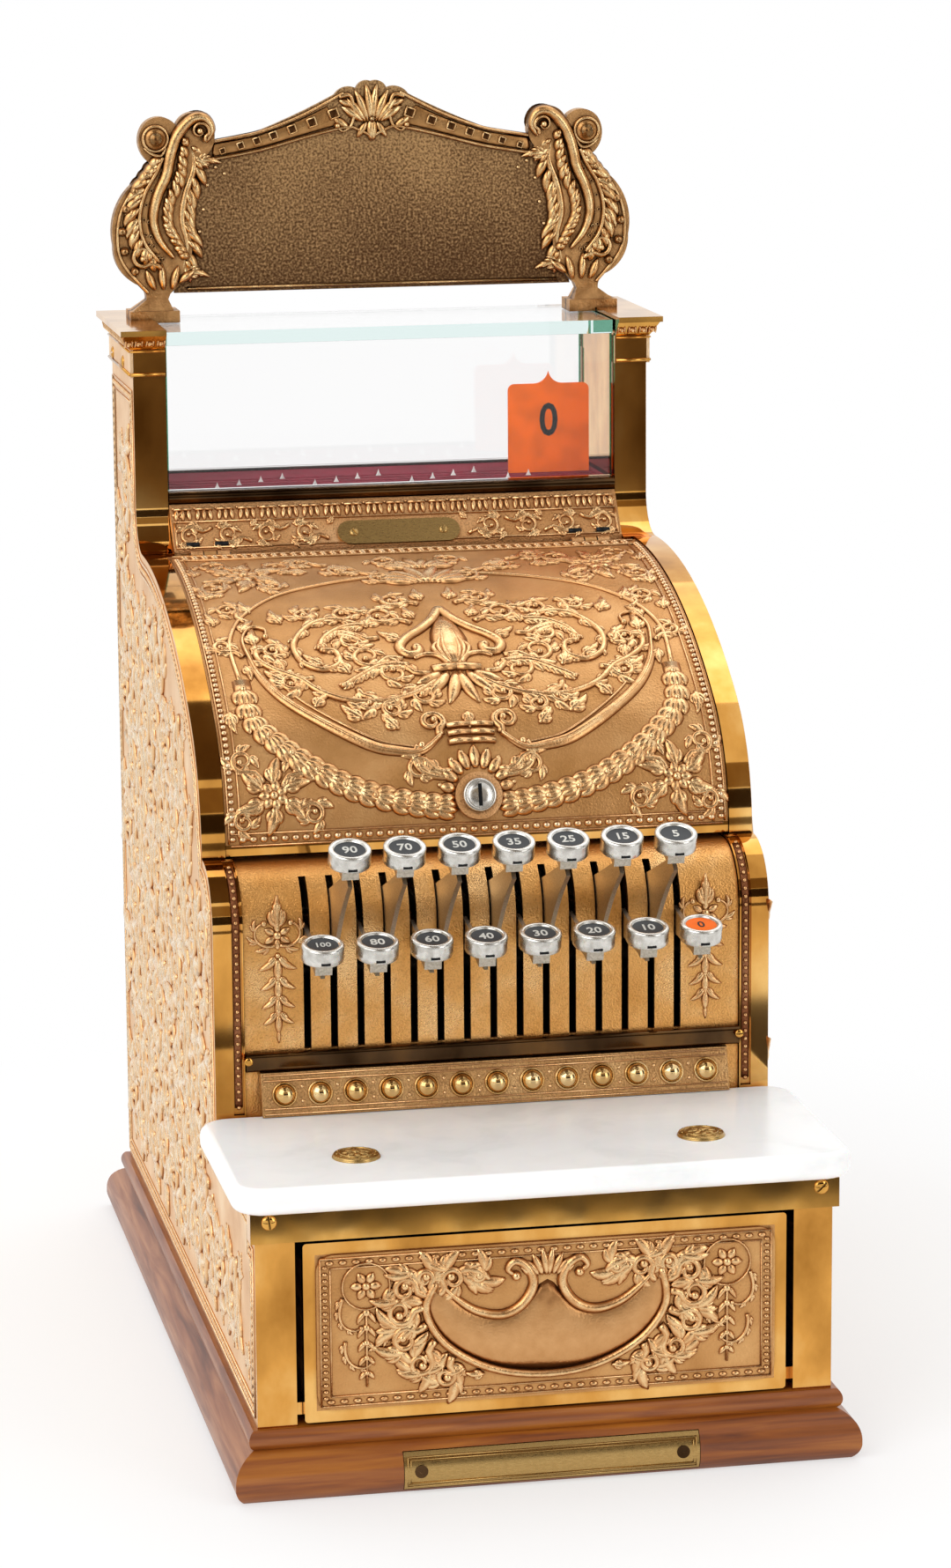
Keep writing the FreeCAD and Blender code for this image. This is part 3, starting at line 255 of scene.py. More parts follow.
def planeMesh(name, x, y, material):
    # a rectangle that reaches x and y to both sides
    mesh = bpy.data.meshes.new(name)
    mesh.from_pydata([(-x, -y, 0), (x, -y, 0), (x, y, 0), (-x, y, 0)], [], [(0, 1, 2, 3)])
    mesh.materials.append(material)
    return mesh


def makeFloor():
    # pale paper that takes the shadow close by and runs out to plain white
    material, tree, shader = startMaterial("palePaper", Base_Color=tint("#FBFBFB"), Roughness=0.9)
    white = addNode(tree, "Emission", {"Color": tint("#FFFFFF"), "Strength": 1.0})
    place = addNode(tree, "TexCoord").outputs["Object"]
    away = addNode(tree, "VectorMath", links={0: place}, operation="LENGTH").outputs["Value"]
    fade = between(0.5, 1.0, floorWork["shadowEnds"], floorWork["whiteFrom"])
    far = addNode(tree, "MapRange", fade, {"Value": away})
    paper = addNode(tree, "MixShader", links={0: far, 1: shader, 2: white})
    output = tree.nodes["Material Output"]
    tree.links.new(whiteToEye(tree, shader, paper).outputs[0], output.inputs["Surface"])
    linkMesh("floor", planeMesh("floor", floorWork["reach"], floorWork["reach"], material))


makeFloor()

# dark studio cards that only polished metal sees: name, place, size, whether it faces the object, colour
cards = [
    ("cardOver", (0.0, -1.0, 2.7), (1.24, 3.0), False, "#5A4834"),
    ("cardBrow", (0.3, -3.4, 2.1), (3.2, 1.3), True, "#907C60"),
    ("cardFront", (0.3, -3.4, 0.9), (3.0, 0.9), True, "#2A1D12"),
    ("cardRight", (2.4, -0.9, 0.7), (0.8, 1.6), True, "#2A1D12"),
    ("cardNear", (0.1, -0.628, 0.002), (2.4, 0.176), False, "#2A1D12"),
    ("cardFar", (0.2, -3.1, 0.002), (4.0, 2.0), False, "#564636"),
]


def makeCards():
    for name, place, (width, depth), facing, colour in cards:
        material = startMaterial(name, Base_Color=tint(colour), Roughness=0.95)[0]
        thing = linkMesh(name, planeMesh(name, width / 2, depth / 2, material))
        if facing:
            aim(thing, place)
        else:
            thing.location = place
        for sight in ("camera", "diffuse", "shadow", "transmission"):
            setattr(thing, "visible_" + sight, False)


makeCards()

print("stage: finishes")


def cornerShadeAndDirt(tree, colour, brown, reach=2.0, most=0.9):
    # painted shade in the corners, with old lacquer and dirt: brown wherever surfaces close in within reach
    # millimetres, from an ambient occlusion mask
    near = addNode(tree, "AmbientOcclusion", {"Distance": reach * mm}, samples=6).outputs["AO"]
    share = addNode(tree, "MapRange", between(most, 0.0, 0.35, 0.92), {"Value": near})
    links = {"Factor": share, "A": colour}
    return addNode(tree, "Mix", {"B": tint(brown)}, links, data_type="RGBA").outputs["Result"]


patchPlaces, cloudPlaces = (0.3, 0.52, 0.72), (0.3, 0.5, 0.68)  # where a ramp's three colours stand


def castGilt(name, brown, *ground, sparkle=0.42, satin=0.5):
    # lacquered gilt bronze casting: satin, sand-grained ground with warm and pale patches
    material, tree, shader = startMaterial(name, Metallic=1.0)
    patches = grainOf(tree, 26, 4)
    colour = addNode(tree, "ValToRGB", links={"Fac": patches}, stops=list(zip(patchPlaces, ground)))
    grain = grainOf(tree, 0.75, 2)
    specks = addNode(tree, "MapRange", between(sparkle, 0.0, 0.36, 0.5), {"Value": grain})
    links = {"Factor": specks, "A": colour}
    speckled = addNode(tree, "Mix", {"B": tint(brown)}, links, data_type="RGBA").outputs["Result"]
    rough = addNode(tree, "MapRange", between(satin, satin - 0.12), {"Value": patches})
    # painted shade and dirt darken the corners
    feed(tree, shader, cornerShadeAndDirt(tree, speckled, brown), rough, grain, 0.4, 0.75)
    return material


def reliefGilt(name, hollow, low, middle, crest, shadeAndDirt=0.8):
    # the same casting where the ornament stands up: patina and painted shade in the hollows, rubbed bright
    # with a painted highlight on the crests
    material, tree, shader = startMaterial(name, Metallic=1.0)
    rise = addNode(tree, "Attribute", attribute_name="rise").outputs["Fac"]
    offset = addNode(tree, "Math", {1: 0.5}, {0: grainOf(tree, 4, 3)}, operation="SUBTRACT")
    level = addNode(tree, "Math", {1: 0.6}, {0: offset, 2: rise}, operation="MULTIPLY_ADD")
    stops = [(0.0, hollow), (0.42, low), (0.84, middle), (1.0, crest)]
    colour = addNode(tree, "ValToRGB", links={"Fac": level}, stops=stops)
    rough = addNode(tree, "MapRange", between(0.46, 0.22, 0.1, 1.0), {"Value": level})
    feed(tree, shader, cornerShadeAndDirt(tree, colour, hollow, 1.6, shadeAndDirt), rough, grainOf(tree, 1.0, 2), 0.22, 0.6)
    return material


def heldBy(tree, tests):
    # 1 where every (axis, middle, half, comparison) holds for the distance to middle, in millimetres
    place = addNode(tree, "TexCoord").outputs["Object"]
    split = addNode(tree, "SeparateXYZ", links={"Vector": place}).outputs
    mask = None
    for axis, middle, half, comparison in tests:
        moved = addNode(tree, "Math", {1: middle * mm}, {0: split[axis]}, operation="SUBTRACT")
        away = addNode(tree, "Math", links={0: moved}, operation="ABSOLUTE")
        held = addNode(tree, "Math", {1: half * mm}, {0: away}, operation=comparison)
        mask = addNode(tree, "Math", links={0: mask, 1: held}, operation="MULTIPLY") if mask else held
    return mask


def partedCasting(name, tests, brown, ground, shadeAndDirt):
    # one casting in two finishes: satin gilt where the tests hold, polished brass on the rest
    material, tree, shader = startMaterial(name, Metallic=1.0)
    mask = heldBy(tree, tests)
    brassStops = list(zip(cloudPlaces, ("#AC7430", "#DC9E4C", "#F6C476")))
    polished = addNode(tree, "ValToRGB", links={"Fac": grainOf(tree, 34, 5, (1, 1, 0.6))}, stops=brassStops)
    giltStops = list(zip(patchPlaces, ground))
    satin = addNode(tree, "ValToRGB", links={"Fac": grainOf(tree, 26, 4)}, stops=giltStops)
    links = {"Factor": mask, "A": polished, "B": satin}
    colour = addNode(tree, "Mix", links=links, data_type="RGBA").outputs["Result"]
    rough = addNode(tree, "Mix", {"A": 0.06, "B": 0.42}, {"Factor": mask}, data_type="FLOAT")
    pebble = addNode(tree, "Math", links={0: grainOf(tree, 1.0, 3), 1: mask}, operation="MULTIPLY")
    # painted shade and dirt darken the corners
    feed(tree, shader, cornerShadeAndDirt(tree, colour, brown, 1.8, shadeAndDirt), rough, pebble, 0.4, 0.7)
    return material


signField = {
    "middle": 172.0, "half": 1.8,  # the field's skin in Y; the brackets stand outside it
    "fade": (445.0, 525.0), "stops": [(0.46, "#583D27"), (0.6, "#866544"), (0.78, "#C49C6A")],
    "gilt": [(0.3, "#9A6E42"), (0.6, "#CC9C66")],
}


def signCasting():
    # sign casting: dark sanded field between the brackets, which stand proud of it and are gilt
    material, tree, shader = startMaterial("signCasting", Metallic=1.0)
    proud = heldBy(tree, [("Y", signField["middle"], signField["half"], "GREATER_THAN")])
    grain = grainOf(tree, 1.1, 3)
    links = {0: grainOf(tree, 55, 3), 2: grain}
    patched = addNode(tree, "Math", {1: 0.25}, links, operation="MULTIPLY_ADD")
    place = addNode(tree, "TexCoord").outputs["Object"]
    level = addNode(tree, "SeparateXYZ", links={"Vector": place}).outputs["Z"]
    # darker towards the bottom of the field and lighter towards its top, by height
    fade = between(-0.1, 0.1, *(z * mm for z in signField["fade"]))
    worn = addNode(tree, "MapRange", fade, {"Value": level})
    shade = addNode(tree, "Math", links={0: patched, 1: worn}, operation="ADD")
    field = addNode(tree, "ValToRGB", links={"Fac": shade}, stops=signField["stops"])
    gilt = addNode(tree, "ValToRGB", links={"Fac": grainOf(tree, 7, 3)}, stops=signField["gilt"])
    links = {"Factor": proud, "A": field, "B": gilt}
    colour = addNode(tree, "Mix", links=links, data_type="RGBA").outputs["Result"]
    rough = addNode(tree, "MapRange", between(0.52, 0.36), {"Value": grain})
    # painted shade and dirt darken the corners
    feed(tree, shader, cornerShadeAndDirt(tree, colour, "#4A2E18", 2.4), rough, grain, 0.5, 0.7)
    return material


def clouded(name, cloud, stops, rough, bump, **surface):
    # colour and gloss that follow one cloudy pattern; bump is (pattern or None, depth, strength),
    # where None takes the same pattern
    material, tree, shader = startMaterial(name, **surface)
    pattern = grainOf(tree, *cloud)
    colour = addNode(tree, "ValToRGB", links={"Fac": pattern}, stops=stops)
    gloss = addNode(tree, "MapRange", between(*rough), {"Value": pattern})
    height, depth, strength = bump
    feed(tree, shader, colour, gloss, grainOf(tree, *height) if height else pattern, depth, strength)
    return material


def polishedBrass(name, *colours):
    # polished sheet and cast edges: mirror-like, with olive tarnish clouds left from the rag
    stops = list(zip(cloudPlaces, colours))
    return clouded(name, (34, 5, (1, 1, 0.6)), stops, (0.14, 0.04), ((22, 1), 0.5, 0.25), Metallic=1.0)


def drawnMetal(name, dark, light, rough, grain=1.2, stretch=(1, 0.12, 1)):
    # metal with the fine lines of the mill or the polishing cloth along it
    stops = [(0.3, dark), (0.7, light)]
    gloss = (rough + 0.07, rough - 0.07)
    return clouded(name, (grain, 3, stretch), stops, gloss, (None, 0.05, 0.3), Metallic=1.0)


def japannedIron():
    # cast iron under black japan: dark, soft gloss over a sand-cast skin
    material, tree, shader = startMaterial("japannedIron", Base_Color=tint("#15120F"), Roughness=0.42)
    feed(tree, shader, height=grainOf(tree, 1.6, 4), depth=0.3, strength=0.5)
    return material


def honedMarble():
    # white statuary marble: faint grey clouds, soft polish
    material, tree, shader = startMaterial(
        "honedMarble", Roughness=0.24, Subsurface_Weight=0.12, Subsurface_Scale=0.004,
    )
    place = addNode(tree, "TexCoord").outputs["Object"]
    bend = addNode(tree, "TexNoise", {"Scale": 9.0, "Detail": 5.0}, {"Vector": place}).outputs["Color"]
    swirl = {1: (0.25, 0.25, 0.25)}
    moved = addNode(tree, "VectorMath", swirl, {0: bend, 2: place}, operation="MULTIPLY_ADD")
    vein = addNode(tree, "TexNoise", {"Scale": 16.0, "Detail": 6.0}, {"Vector": moved})
    stops = [(0.33, "#F0F1F0"), (0.47, "#FBFBFA"), (0.6, "#FFFFFE")]
    colour = addNode(tree, "ValToRGB", links={"Fac": vein}, stops=stops)
    feed(tree, shader, colour, None, grainOf(tree, 2.5, 3), 0.03, 0.2)
    return material


def varnishedWood(name, dark, middle, light, rough, alongY=False):
    # grain drawn out along the rail; on the mitred frame it turns with the rail
    material, tree, shader = startMaterial(name)
    shader.inputs["Coat Weight"].default_value = 0.2 if rough < 0.4 else 0.0
    shader.inputs["Coat Roughness"].default_value = 0.12
    place = addNode(tree, "TexCoord").outputs["Object"]
    split = addNode(tree, "SeparateXYZ", links={"Vector": place}).outputs
    along = addNode(tree, "CombineXYZ", links={"X": split["Y"], "Y": split["X"], "Z": split["Z"]})
    if not alongY:
        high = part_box("plinth")[1]
        margins = []
        for axis, edge in (("X", high.x), ("Y", high.y)):
            size = addNode(tree, "Math", links={0: split[axis]}, operation="ABSOLUTE")
            margins.append(addNode(tree, "Math", {1: edge}, {0: size}, operation="SUBTRACT"))
        atSides = addNode(tree, "Math", links=dict(enumerate(margins)), operation="GREATER_THAN")
        links = {"Factor": atSides, "A": place, "B": along}
        along = addNode(tree, "Mix", links=links, data_type="VECTOR").outputs["Result"]
    stretched = {"Vector": addNode(tree, "Mapping", {"Scale": (0.07, 1, 1)}, {"Vector": along})}
    grain = addNode(tree, "TexNoise", {"Scale": 260.0, "Detail": 4.0, "Distortion": 0.4}, stretched)
    figure = addNode(tree, "TexNoise", {"Scale": 34.0, "Detail": 3.0}, stretched)
    both = addNode(tree, "Math", {1: 0.55}, {0: figure, 2: grain}, operation="MULTIPLY_ADD")
    stops = [(0.52, dark), (0.76, middle), (1.02, light)]
    colour = addNode(tree, "ValToRGB", links={"Fac": both}, stops=stops)
    satin = addNode(tree, "MapRange", between(rough + 0.1, rough - 0.04), {"Value": grain})
    feed(tree, shader, colour, satin, grain, 0.12, 0.3)
    return material


def enamel(name, colour, rough=0.16, coat=0.3):
    # enamel, paint, paper or baize: one slightly uneven colour under a faint orange-peel skin
    material, tree, shader = startMaterial(name, Roughness=rough, Coat_Weight=coat, Coat_Roughness=0.06)
    if rough > 0.3:
        shader.inputs["Specular IOR Level"].default_value = 0.15
    deeper = "#%02X%02X%02X" % tuple(int(int(colour[i:i + 2], 16) * 0.88) for i in (1, 3, 5))
    stops = [(0.3, deeper), (0.6, colour)]
    shade = addNode(tree, "ValToRGB", links={"Fac": grainOf(tree, 14, 2)}, stops=stops)
    feed(tree, shader, shade, None, grainOf(tree, 1.5, 2), 0.02, 0.3)
    return material


glassWork = {
    "slabEnd": 9.0, "edge": 0.6, "slabBottom": 422.0, "slabTop": 440.0, "face": "#D5F0EC", "end": "#2C6B4E",
}


def windowGlass():
    # plate glass: clear through its faces, green where one looks along it near the ground ends;
    # lamps shine through
    material, tree, shader = startMaterial("windowGlass", Roughness=0.0, IOR=1.5, Transmission_Weight=1.0)
    low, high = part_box("window_glass")
    edge, bottom, top = glassWork["edge"], glassWork["slabBottom"], glassWork["slabTop"]
    face = ("Y", low.y / mm, edge, "LESS_THAN")
    ends = heldBy(tree, [("X", 0.0, high.x / mm - edge, "GREATER_THAN")])
    corner = heldBy(tree, [
        face, ("X", high.x / mm, glassWork["slabEnd"], "LESS_THAN"), ("Z", bottom, 0.0, "GREATER_THAN"),
        ("Z", top, top - bottom, "LESS_THAN"),
    ])
    green = addNode(tree, "Math", links={0: ends, 1: corner}, operation="MAXIMUM")
    colour = None
    for share, shade in ((heldBy(tree, [face]), glassWork["face"]), (green, glassWork["end"])):
        values = {"B": tint(shade)} if colour else {"A": tint("#FFFFFF"), "B": tint(shade)}
        links = {"Factor": share, "A": colour} if colour else {"Factor": share}
        colour = addNode(tree, "Mix", values, links, data_type="RGBA").outputs["Result"]
    feed(tree, shader, colour)
    shadow = addNode(tree, "LightPath").outputs["Is Shadow Ray"]
    clear = addNode(tree, "BsdfTransparent")
    mixed = addNode(tree, "MixShader", links={0: shadow, 1: shader, 2: clear})
    tree.links.new(mixed.outputs[0], tree.nodes["Material Output"].inputs["Surface"])
    return material


# in millimetres: the walls' faces, and the half width, middle and half height of the drawer's field
wallFace, drawerField = 117.4, (93.6, 66.0, 32.2)
finishes = {
    "gilt": castGilt("castGilt", "#845430", "#CA955F", "#DFA972", "#EEBC88"),
    "lid": partedCasting(
        "lidCasting", [("Z", 300.0, 64.4, "LESS_THAN")], "#845430", ("#B9864F", "#CE9A62", "#DCAC74"), 0.85,
    ),
    "plate": castGilt("rolledGilt", "#8A5A2C", "#D8984F", "#EAAE66", "#F8C88A", sparkle=0.22, satin=0.36),
    "strip": castGilt("studGilt", "#7A5432", "#BC8E5C", "#D2A26A", "#E6BA82", sparkle=0.5, satin=0.42),
    "band": castGilt("bandGilt", "#4E2C1A", "#7E4C30", "#96603F", "#AA7450"),
    "drawer": partedCasting(
        "drawerCasting",
        [("Y", -201.0, 1.2, "LESS_THAN"), ("X", 0.0, drawerField[0], "LESS_THAN"),
         ("Z", drawerField[1], drawerField[2], "LESS_THAN")],
        "#7C4C26", ("#BE8850", "#D29C62", "#E2B074"), 0.8,
    ),
    # the side walls' gilt in paler colours than the front's: painted light, as bright as the lit left side
    "side": partedCasting(
        "sideCasting", [("X", 0.0, wallFace, "GREATER_THAN")],
        "#A5683A", ("#E2B482", "#F0C89A", "#FADCB4"), 0.7,
    ),
    "sign": signCasting(),
    "relief": reliefGilt("reliefGilt", "#845430", "#CA955F", "#DAA670", "#F2CA94", 0.7),
    # the walls' ornament in paler colours than the front's relief: painted light, like the side castings
    "wall": reliefGilt("wallGilt", "#AE7240", "#DEAE7A", "#F0CA9C", "#FCE6C2", 0.65),
    "signRelief": reliefGilt("signGilt", "#4A2E18", "#B0804D", "#D8A66C", "#F6D29A"),
    "brass": polishedBrass("brightBrass", "#B5823C", "#DCA450", "#F4C270"),
    "agedBrass": drawnMetal("agedBrass", "#B08E56", "#BE9C62", 0.3, 0.4, (0.2, 1, 1)),
    # painted reflection: near-black brown brass standing in for the dark surroundings that the ledge, the
    # sills and the plinth plate's screws mirror
    "darkReflection": polishedBrass("darkReflectionBrass", "#2E1E10", "#57402A", "#7E5A34"),
    "stud": polishedBrass("studBrass", "#B48650", "#DEB676", "#F6DAA6"),
    "nickel": drawnMetal("nickelPlate", "#C2BEB6", "#E2DFD8", 0.27, 3.0, (1, 1, 1)),
    "steel": drawnMetal("groundSteel", "#6E6A63", "#A39D92", 0.34),
    "lever": drawnMetal("leverNickel", "#A69C8C", "#C6BCAC", 0.34, 0.8, (1, 1, 1)),
    "iron": japannedIron(),
    "marble": honedMarble(),
    "mahogany": varnishedWood("mahogany", "#5E2A0A", "#8A480F", "#A8641F", 0.36),
    "oak": varnishedWood("drawerOak", "#6E4A28", "#9A7346", "#B8925E", 0.55, True),
    "glass": windowGlass(),
    "red": enamel("redBaize", "#84102C", 0.8, 0.0),
    "white": enamel("whiteEnamel", "#F6F4F0"),
    "orange": enamel("orangeEnamel", "#FF7000", 0.4, 0.0),
    # black paint for the numerals, and painted shade in the hinge slots, the key slots and the plug's slit
    "black": enamel("blackPaintAndSlotShade", "#17181A", 0.31, 0.0),
    "dial": enamel("dialPaper", "#3A3C3E", 0.35, 0.0),
    "numeral": enamel("numeralPaint", "#DAD7CE", 0.4, 0.0),
}

wearing = {
    "gilt": ["frieze_panel", "back_cover", "lock_case"],
    "lid": ["lid"],
    "drawer": ["drawer_front"],
    "plate": ["key_plate"],
    "strip": ["stud_strip"],
    "sign": ["top_sign"],
    "brass": ["drawer_rail", "top_caps", "fasteners"],
    "darkReflection": ["key_ledge", "window_sills"],
    "agedBrass": ["name_plates"],
    "side": ["side_left", "side_right"],
    "nickel": ["lock_plug", "bell_gong"],
    "steel": ["guide_comb", "pivot_shafts", "bell_hammer", "drawer_latch", "drawer_spring"],
    "iron": ["mechanism_frame"],
    "marble": ["marble_shelf"],
    "mahogany": ["plinth"],
    "oak": ["drawer_box", "drawer_dividers"],
    "glass": ["window_glass"],
    "red": ["flag_deck"],
    "lever": [f"key_{i:02d}" for i in range(1, 16)],
    "white": [f"flag_{i:02d}" for i in range(1, 15)],
    "orange": ["flag_15"],
}

for finish, names in wearing.items():
    for name in names:
        for part in nodes[name].material_slots:
            part.material = finishes[finish]

print("stage: relief kit")

# flat paths and sizes below are in millimetres on a panel's own (u, v), and place turns (u, v, height)
# into the row frame; a swell is the share of a stroke's width that stands at each share of its length
swells = {
    "line": lambda t: 1.0,
    "vine": lambda t: 1.0 - 0.45 * t,
    "leaf": lambda t: math.sin(math.pi * min(t * 0.86 + 0.1, 1.0)) ** 0.8,
    "reed": lambda t: math.sin(math.pi * (t * 0.96 + 0.02)) ** 0.45,
}
section = [(-1.0, 0.0), (-0.62, 0.72), (0.0, 1.0), (0.62, 0.72), (1.0, 0.0)]
sunk = 0.25


def curl(start, heading, length, bendStart, bendEnd, steps=14):
    # a spiral path; heading in degrees, bends in degrees per millimetre
    u, v = start
    path = [(u, v)]
    angle = heading
    stride = length / steps
    for i in range(steps):
        bend = bendStart + (bendEnd - bendStart) * (i + 0.5) / steps
        turn = math.radians(angle + bend * stride / 2)
        angle += bend * stride
        u += stride * math.cos(turn)
        v += stride * math.sin(turn)
        path.append((u, v))
    return path


def flowing(points, steps=5):
    # a smooth path through given points
    last = len(points) - 1
    path = []
    for i in range(last):
        a, b, c, d = points[max(i - 1, 0)], points[i], points[i + 1], points[min(i + 2, last)]
        for k in range(steps):
            t = k / steps
            path.append(tuple(
                0.5 * (
                    2 * q + (r - p) * t + (2 * p - 5 * q + 4 * r - s) * t * t
                    + (3 * q - p - 3 * r + s) * t ** 3
                )
                for p, q, r, s in zip(a, b, c, d)
            ))
    path.append(points[-1])
    return path


def polar(u, v, reach, angle):
    return u + reach * math.cos(angle), v + reach * math.sin(angle)


def turnsOf(count):
    # the angles of so many equal steps round a circle
    return [2 * math.pi * k / count for k in range(count)]


def volute(start, centre, radius, hand=1, turns=1.15):
    # a stem that leaves start and winds in round centre
    begin = math.atan2(start[1] - centre[1], start[0] - centre[0]) + hand * math.radians(50)
    steps = round(9 * turns)
    points = [start]
    for k in range(steps + 1):
        angle = begin + hand * 2 * math.pi * turns * k / steps
        points.append(polar(*centre, radius * (1 - 0.7 * k / steps), angle))
    alongU, alongV = points[1][0] - start[0], points[1][1] - start[1]
    bulge = 0.24 * hand
    points.insert(1, (start[0] + 0.5 * alongU - bulge * alongV, start[1] + 0.5 * alongV + bulge * alongU))
    return flowing(points, 2)


def headingAt(path, i):
    before, after = path[max(i - 1, 0)], path[min(i + 1, len(path) - 1)]
    return math.degrees(math.atan2(after[1] - before[1], after[0] - before[0]))


def weave(build, rings, closed=True):
    # quads between neighbouring rings, or between open rows
    count = len(rings[0])
    for one, two in zip(rings, rings[1:]):
        for k in range(count if closed else count - 1):
            after = (k + 1) % count
            build.faces.new((one[k], one[after], two[after], two[k]))


class Relief:
    # gathers raised ornament; "rise" runs from 0 in the hollows to 1 on the crests, and the relief finishes
    # turn it into patina and painted shade low and a rubbed, painted highlight high
    def __init__(self, place, bold=1.0):
        self.build = bmesh.new()
        self.rise = self.build.verts.layers.float.new("rise")
        self.place = place
        self.sides = (1,)
        self.bold = bold

    def mirrored(self, both=True):
        self.sides = (1, -1) if both else (1,)
        return self

    def vert(self, side, u, v, h, rise):
        made = self.build.verts.new(self.place(side * u, v, h))
        made[self.rise] = rise
        return made

    def stroke(self, path, width, height, swell="vine"):
        # a rounded ridge along the path, sunk a little into the ground, with closed ends
        last = len(path) - 1
        for side in self.sides:
            rings = []
            for i, (u, v) in enumerate(path):
                turn = math.radians(headingAt(path, i))
                acrossU, acrossV = -math.sin(turn), math.cos(turn)
                wide = max(swells[swell](i / last), 0.06)
                half = width / 2 * wide * self.bold
                top = height * (0.3 + 0.7 * min(wide, 1.0))
                rings.append([
                    self.vert(
                        side, u + acrossU * half * a, v + acrossV * half * a, (top + sunk) * up - sunk, up,
                    )
                    for a, up in section
                ])
            weave(self.build, rings)
            self.build.faces.new(rings[0])
            self.build.faces.new(rings[-1])

    def bar(self, start, end, width, height):
        # a straight fillet
        middle = tuple((a + b) / 2 for a, b in zip(start, end))
        self.stroke([start, middle, end], width, height, "line")

    def border(self, x, low, high, width, height):
        # a fillet round a field that reaches x to both sides
        self.mirrored(False)
        for level in (low, high):
            self.bar((-x, level), (x, level), width, height)
        self.mirrored().bar((x, low), (x, high), width, height)

    def dome(self, u, v, radius, height, around=8, rows=2, hollow=0.0):
        # a boss; hollow sinks its middle into an eye
        for side in self.sides:
            rings = []
            for row in range(rows + 1):
                angle = math.pi / 2 * row / (rows + (0 if hollow else 1))
                r = radius * math.cos(angle) if row else radius
                h = height * math.sin(angle) if row else -sunk
                if hollow and row == rows:
                    r, h = radius * 0.45, height
                rings.append([self.vert(side, *polar(u, v, r, a), h, row / rows) for a in turnsOf(around)])
            weave(self.build, rings)
            tip = self.vert(side, u, v, height * (1 - hollow), 0.0 if hollow else 1.0)
            for k in range(around):
                self.build.faces.new((rings[-1][k], rings[-1][(k + 1) % around], tip))
            self.build.faces.new(rings[0])

    def cushion(self, lower, upper, height, dip=None):
        # a swelling field between two paths, with an optional hollow (u, v, radius)
        rows = 6
        for side in self.sides:
            grid = []
            last = min(len(lower), len(upper)) - 1
            for i in range(last + 1):
                a = lower[round(i * (len(lower) - 1) / last)]
                b = upper[round(i * (len(upper) - 1) / last)]
                column = []
                for k in range(rows + 1):
                    t = k / rows
                    u, v = a[0] + (b[0] - a[0]) * t, a[1] + (b[1] - a[1]) * t
                    swell = math.sin(math.pi * t) ** 0.6 * math.sin(math.pi * i / last) ** 0.3
                    up = height * swell
                    rise = 0.3 + 0.36 * swell
                    if dip:
                        near = max(1 - math.hypot(u - dip[0], (v - dip[1]) * 1.4) / dip[2], 0)
                        up -= height * 0.6 * near
                        # the hollow's rise falls towards 0, which the finish paints as shade
                        rise *= 1 - near
                    if k in (0, rows) or i in (0, last):
                        up = -sunk
                    column.append(self.vert(side, u, v, up, rise))
                grid.append(column)
            weave(self.build, grid, False)
            rim = [column[0] for column in grid] + grid[-1][1:]
            rim += [column[-1] for column in reversed(grid[:-1])] + grid[0][rows - 1:0:-1]
            self.build.faces.new(rim)

    def ring(self, u, v, radius, width, height, around=24):
        # a round bead moulding
        for side in self.sides:
            rings = []
            for angle in turnsOf(around):
                spots = [(polar(u, v, radius + width / 2 * a, angle), up) for a, up in section]
                rings.append([
                    self.vert(side, *spot, (height + sunk) * up - sunk, up) for spot, up in spots
                ])
            weave(self.build, rings + rings[:1])

    def pit(self, u, v, size, height, turn, floor=0.05):
        # a square socket with a raised lip, its floor painted dark as shade by a rise below the hollows
        corners = [math.radians(turn + 45 + 90 * k) for k in range(4)]
        lip = height * 0.8
        steps = ((1.5, -sunk, 0.2), (1.3, lip, 0.9), (1.0, lip, 0.9), (0.85, floor, -1.2))
        for side in self.sides:
            rings = [
                [self.vert(side, *polar(u, v, reach * size, a), up, rise) for a in corners]
                for reach, up, rise in steps
            ]
            weave(self.build, rings)
            self.build.faces.new(rings[0])
            self.build.faces.new(rings[-1])

    def petal(self, u, v, heading, length, width, height, bend=0.0, swell="leaf"):
        self.stroke(curl((u, v), heading, length, bend, bend, 6), width, height, swell)

    def leaf(self, u, v, heading, length, height=0.9, lobes=3, bend=0.0, fat=0.34):
        # a cut leaf: a midrib with pairs of lobes that shorten towards the tip
        rib = curl((u, v), heading, length, bend, bend * 1.6, 8)
        self.stroke(rib, length * fat * 0.55, height, "leaf")
        for k in range(lobes):
            i = 1 + int(k * 5 / max(lobes, 1))
            lobe = length * (0.5 - 0.09 * k)
            for way in (1, -1):
                tilt = headingAt(rib, i) + way * (58 - 9 * k)
                self.petal(*rib[i], tilt, lobe, lobe * 0.5, height * 0.85, -way * 70 / lobe)

    def leaves(self, table, *shape):
        # a table of (u, v, heading, length) leaves of one shape
        for leaf in table:
            self.leaf(*leaf, *shape)

    def flower(self, u, v, radius, height, petals=6, turn=0.0):
        for k in range(petals):
            angle = turn + 360 * k / petals
            foot = polar(u, v, radius * 0.22, math.radians(angle))
            self.petal(*foot, angle, radius * 0.8, radius * 0.62, height * 0.8)
        self.dome(u, v, radius * 0.34, height * 1.15)

    def winding(self, stems, width, height, leaves=4, leafSize=1.1):
        # a table of (start, centre, radius, hand) stems that end in leafy volutes
        for start, centre, radius, hand in stems:
            path = volute(start, centre, radius, hand)
            self.scroll(path, width, height, leaves, -hand, 0.95, leafSize)

    def frond(self, path, length, width, height, way, step=2):
        # overlapping leaflets along one side of a stem
        for i in range(1, len(path) - 1, step):
            taper = math.sin(math.pi * (i + 2) / (len(path) + 3)) ** 0.5
            heading = headingAt(path, i) + way * 50
            self.petal(*path[i], heading, length * taper, width, height, -way * 40 / length)

    def garland(self, path, size, height):
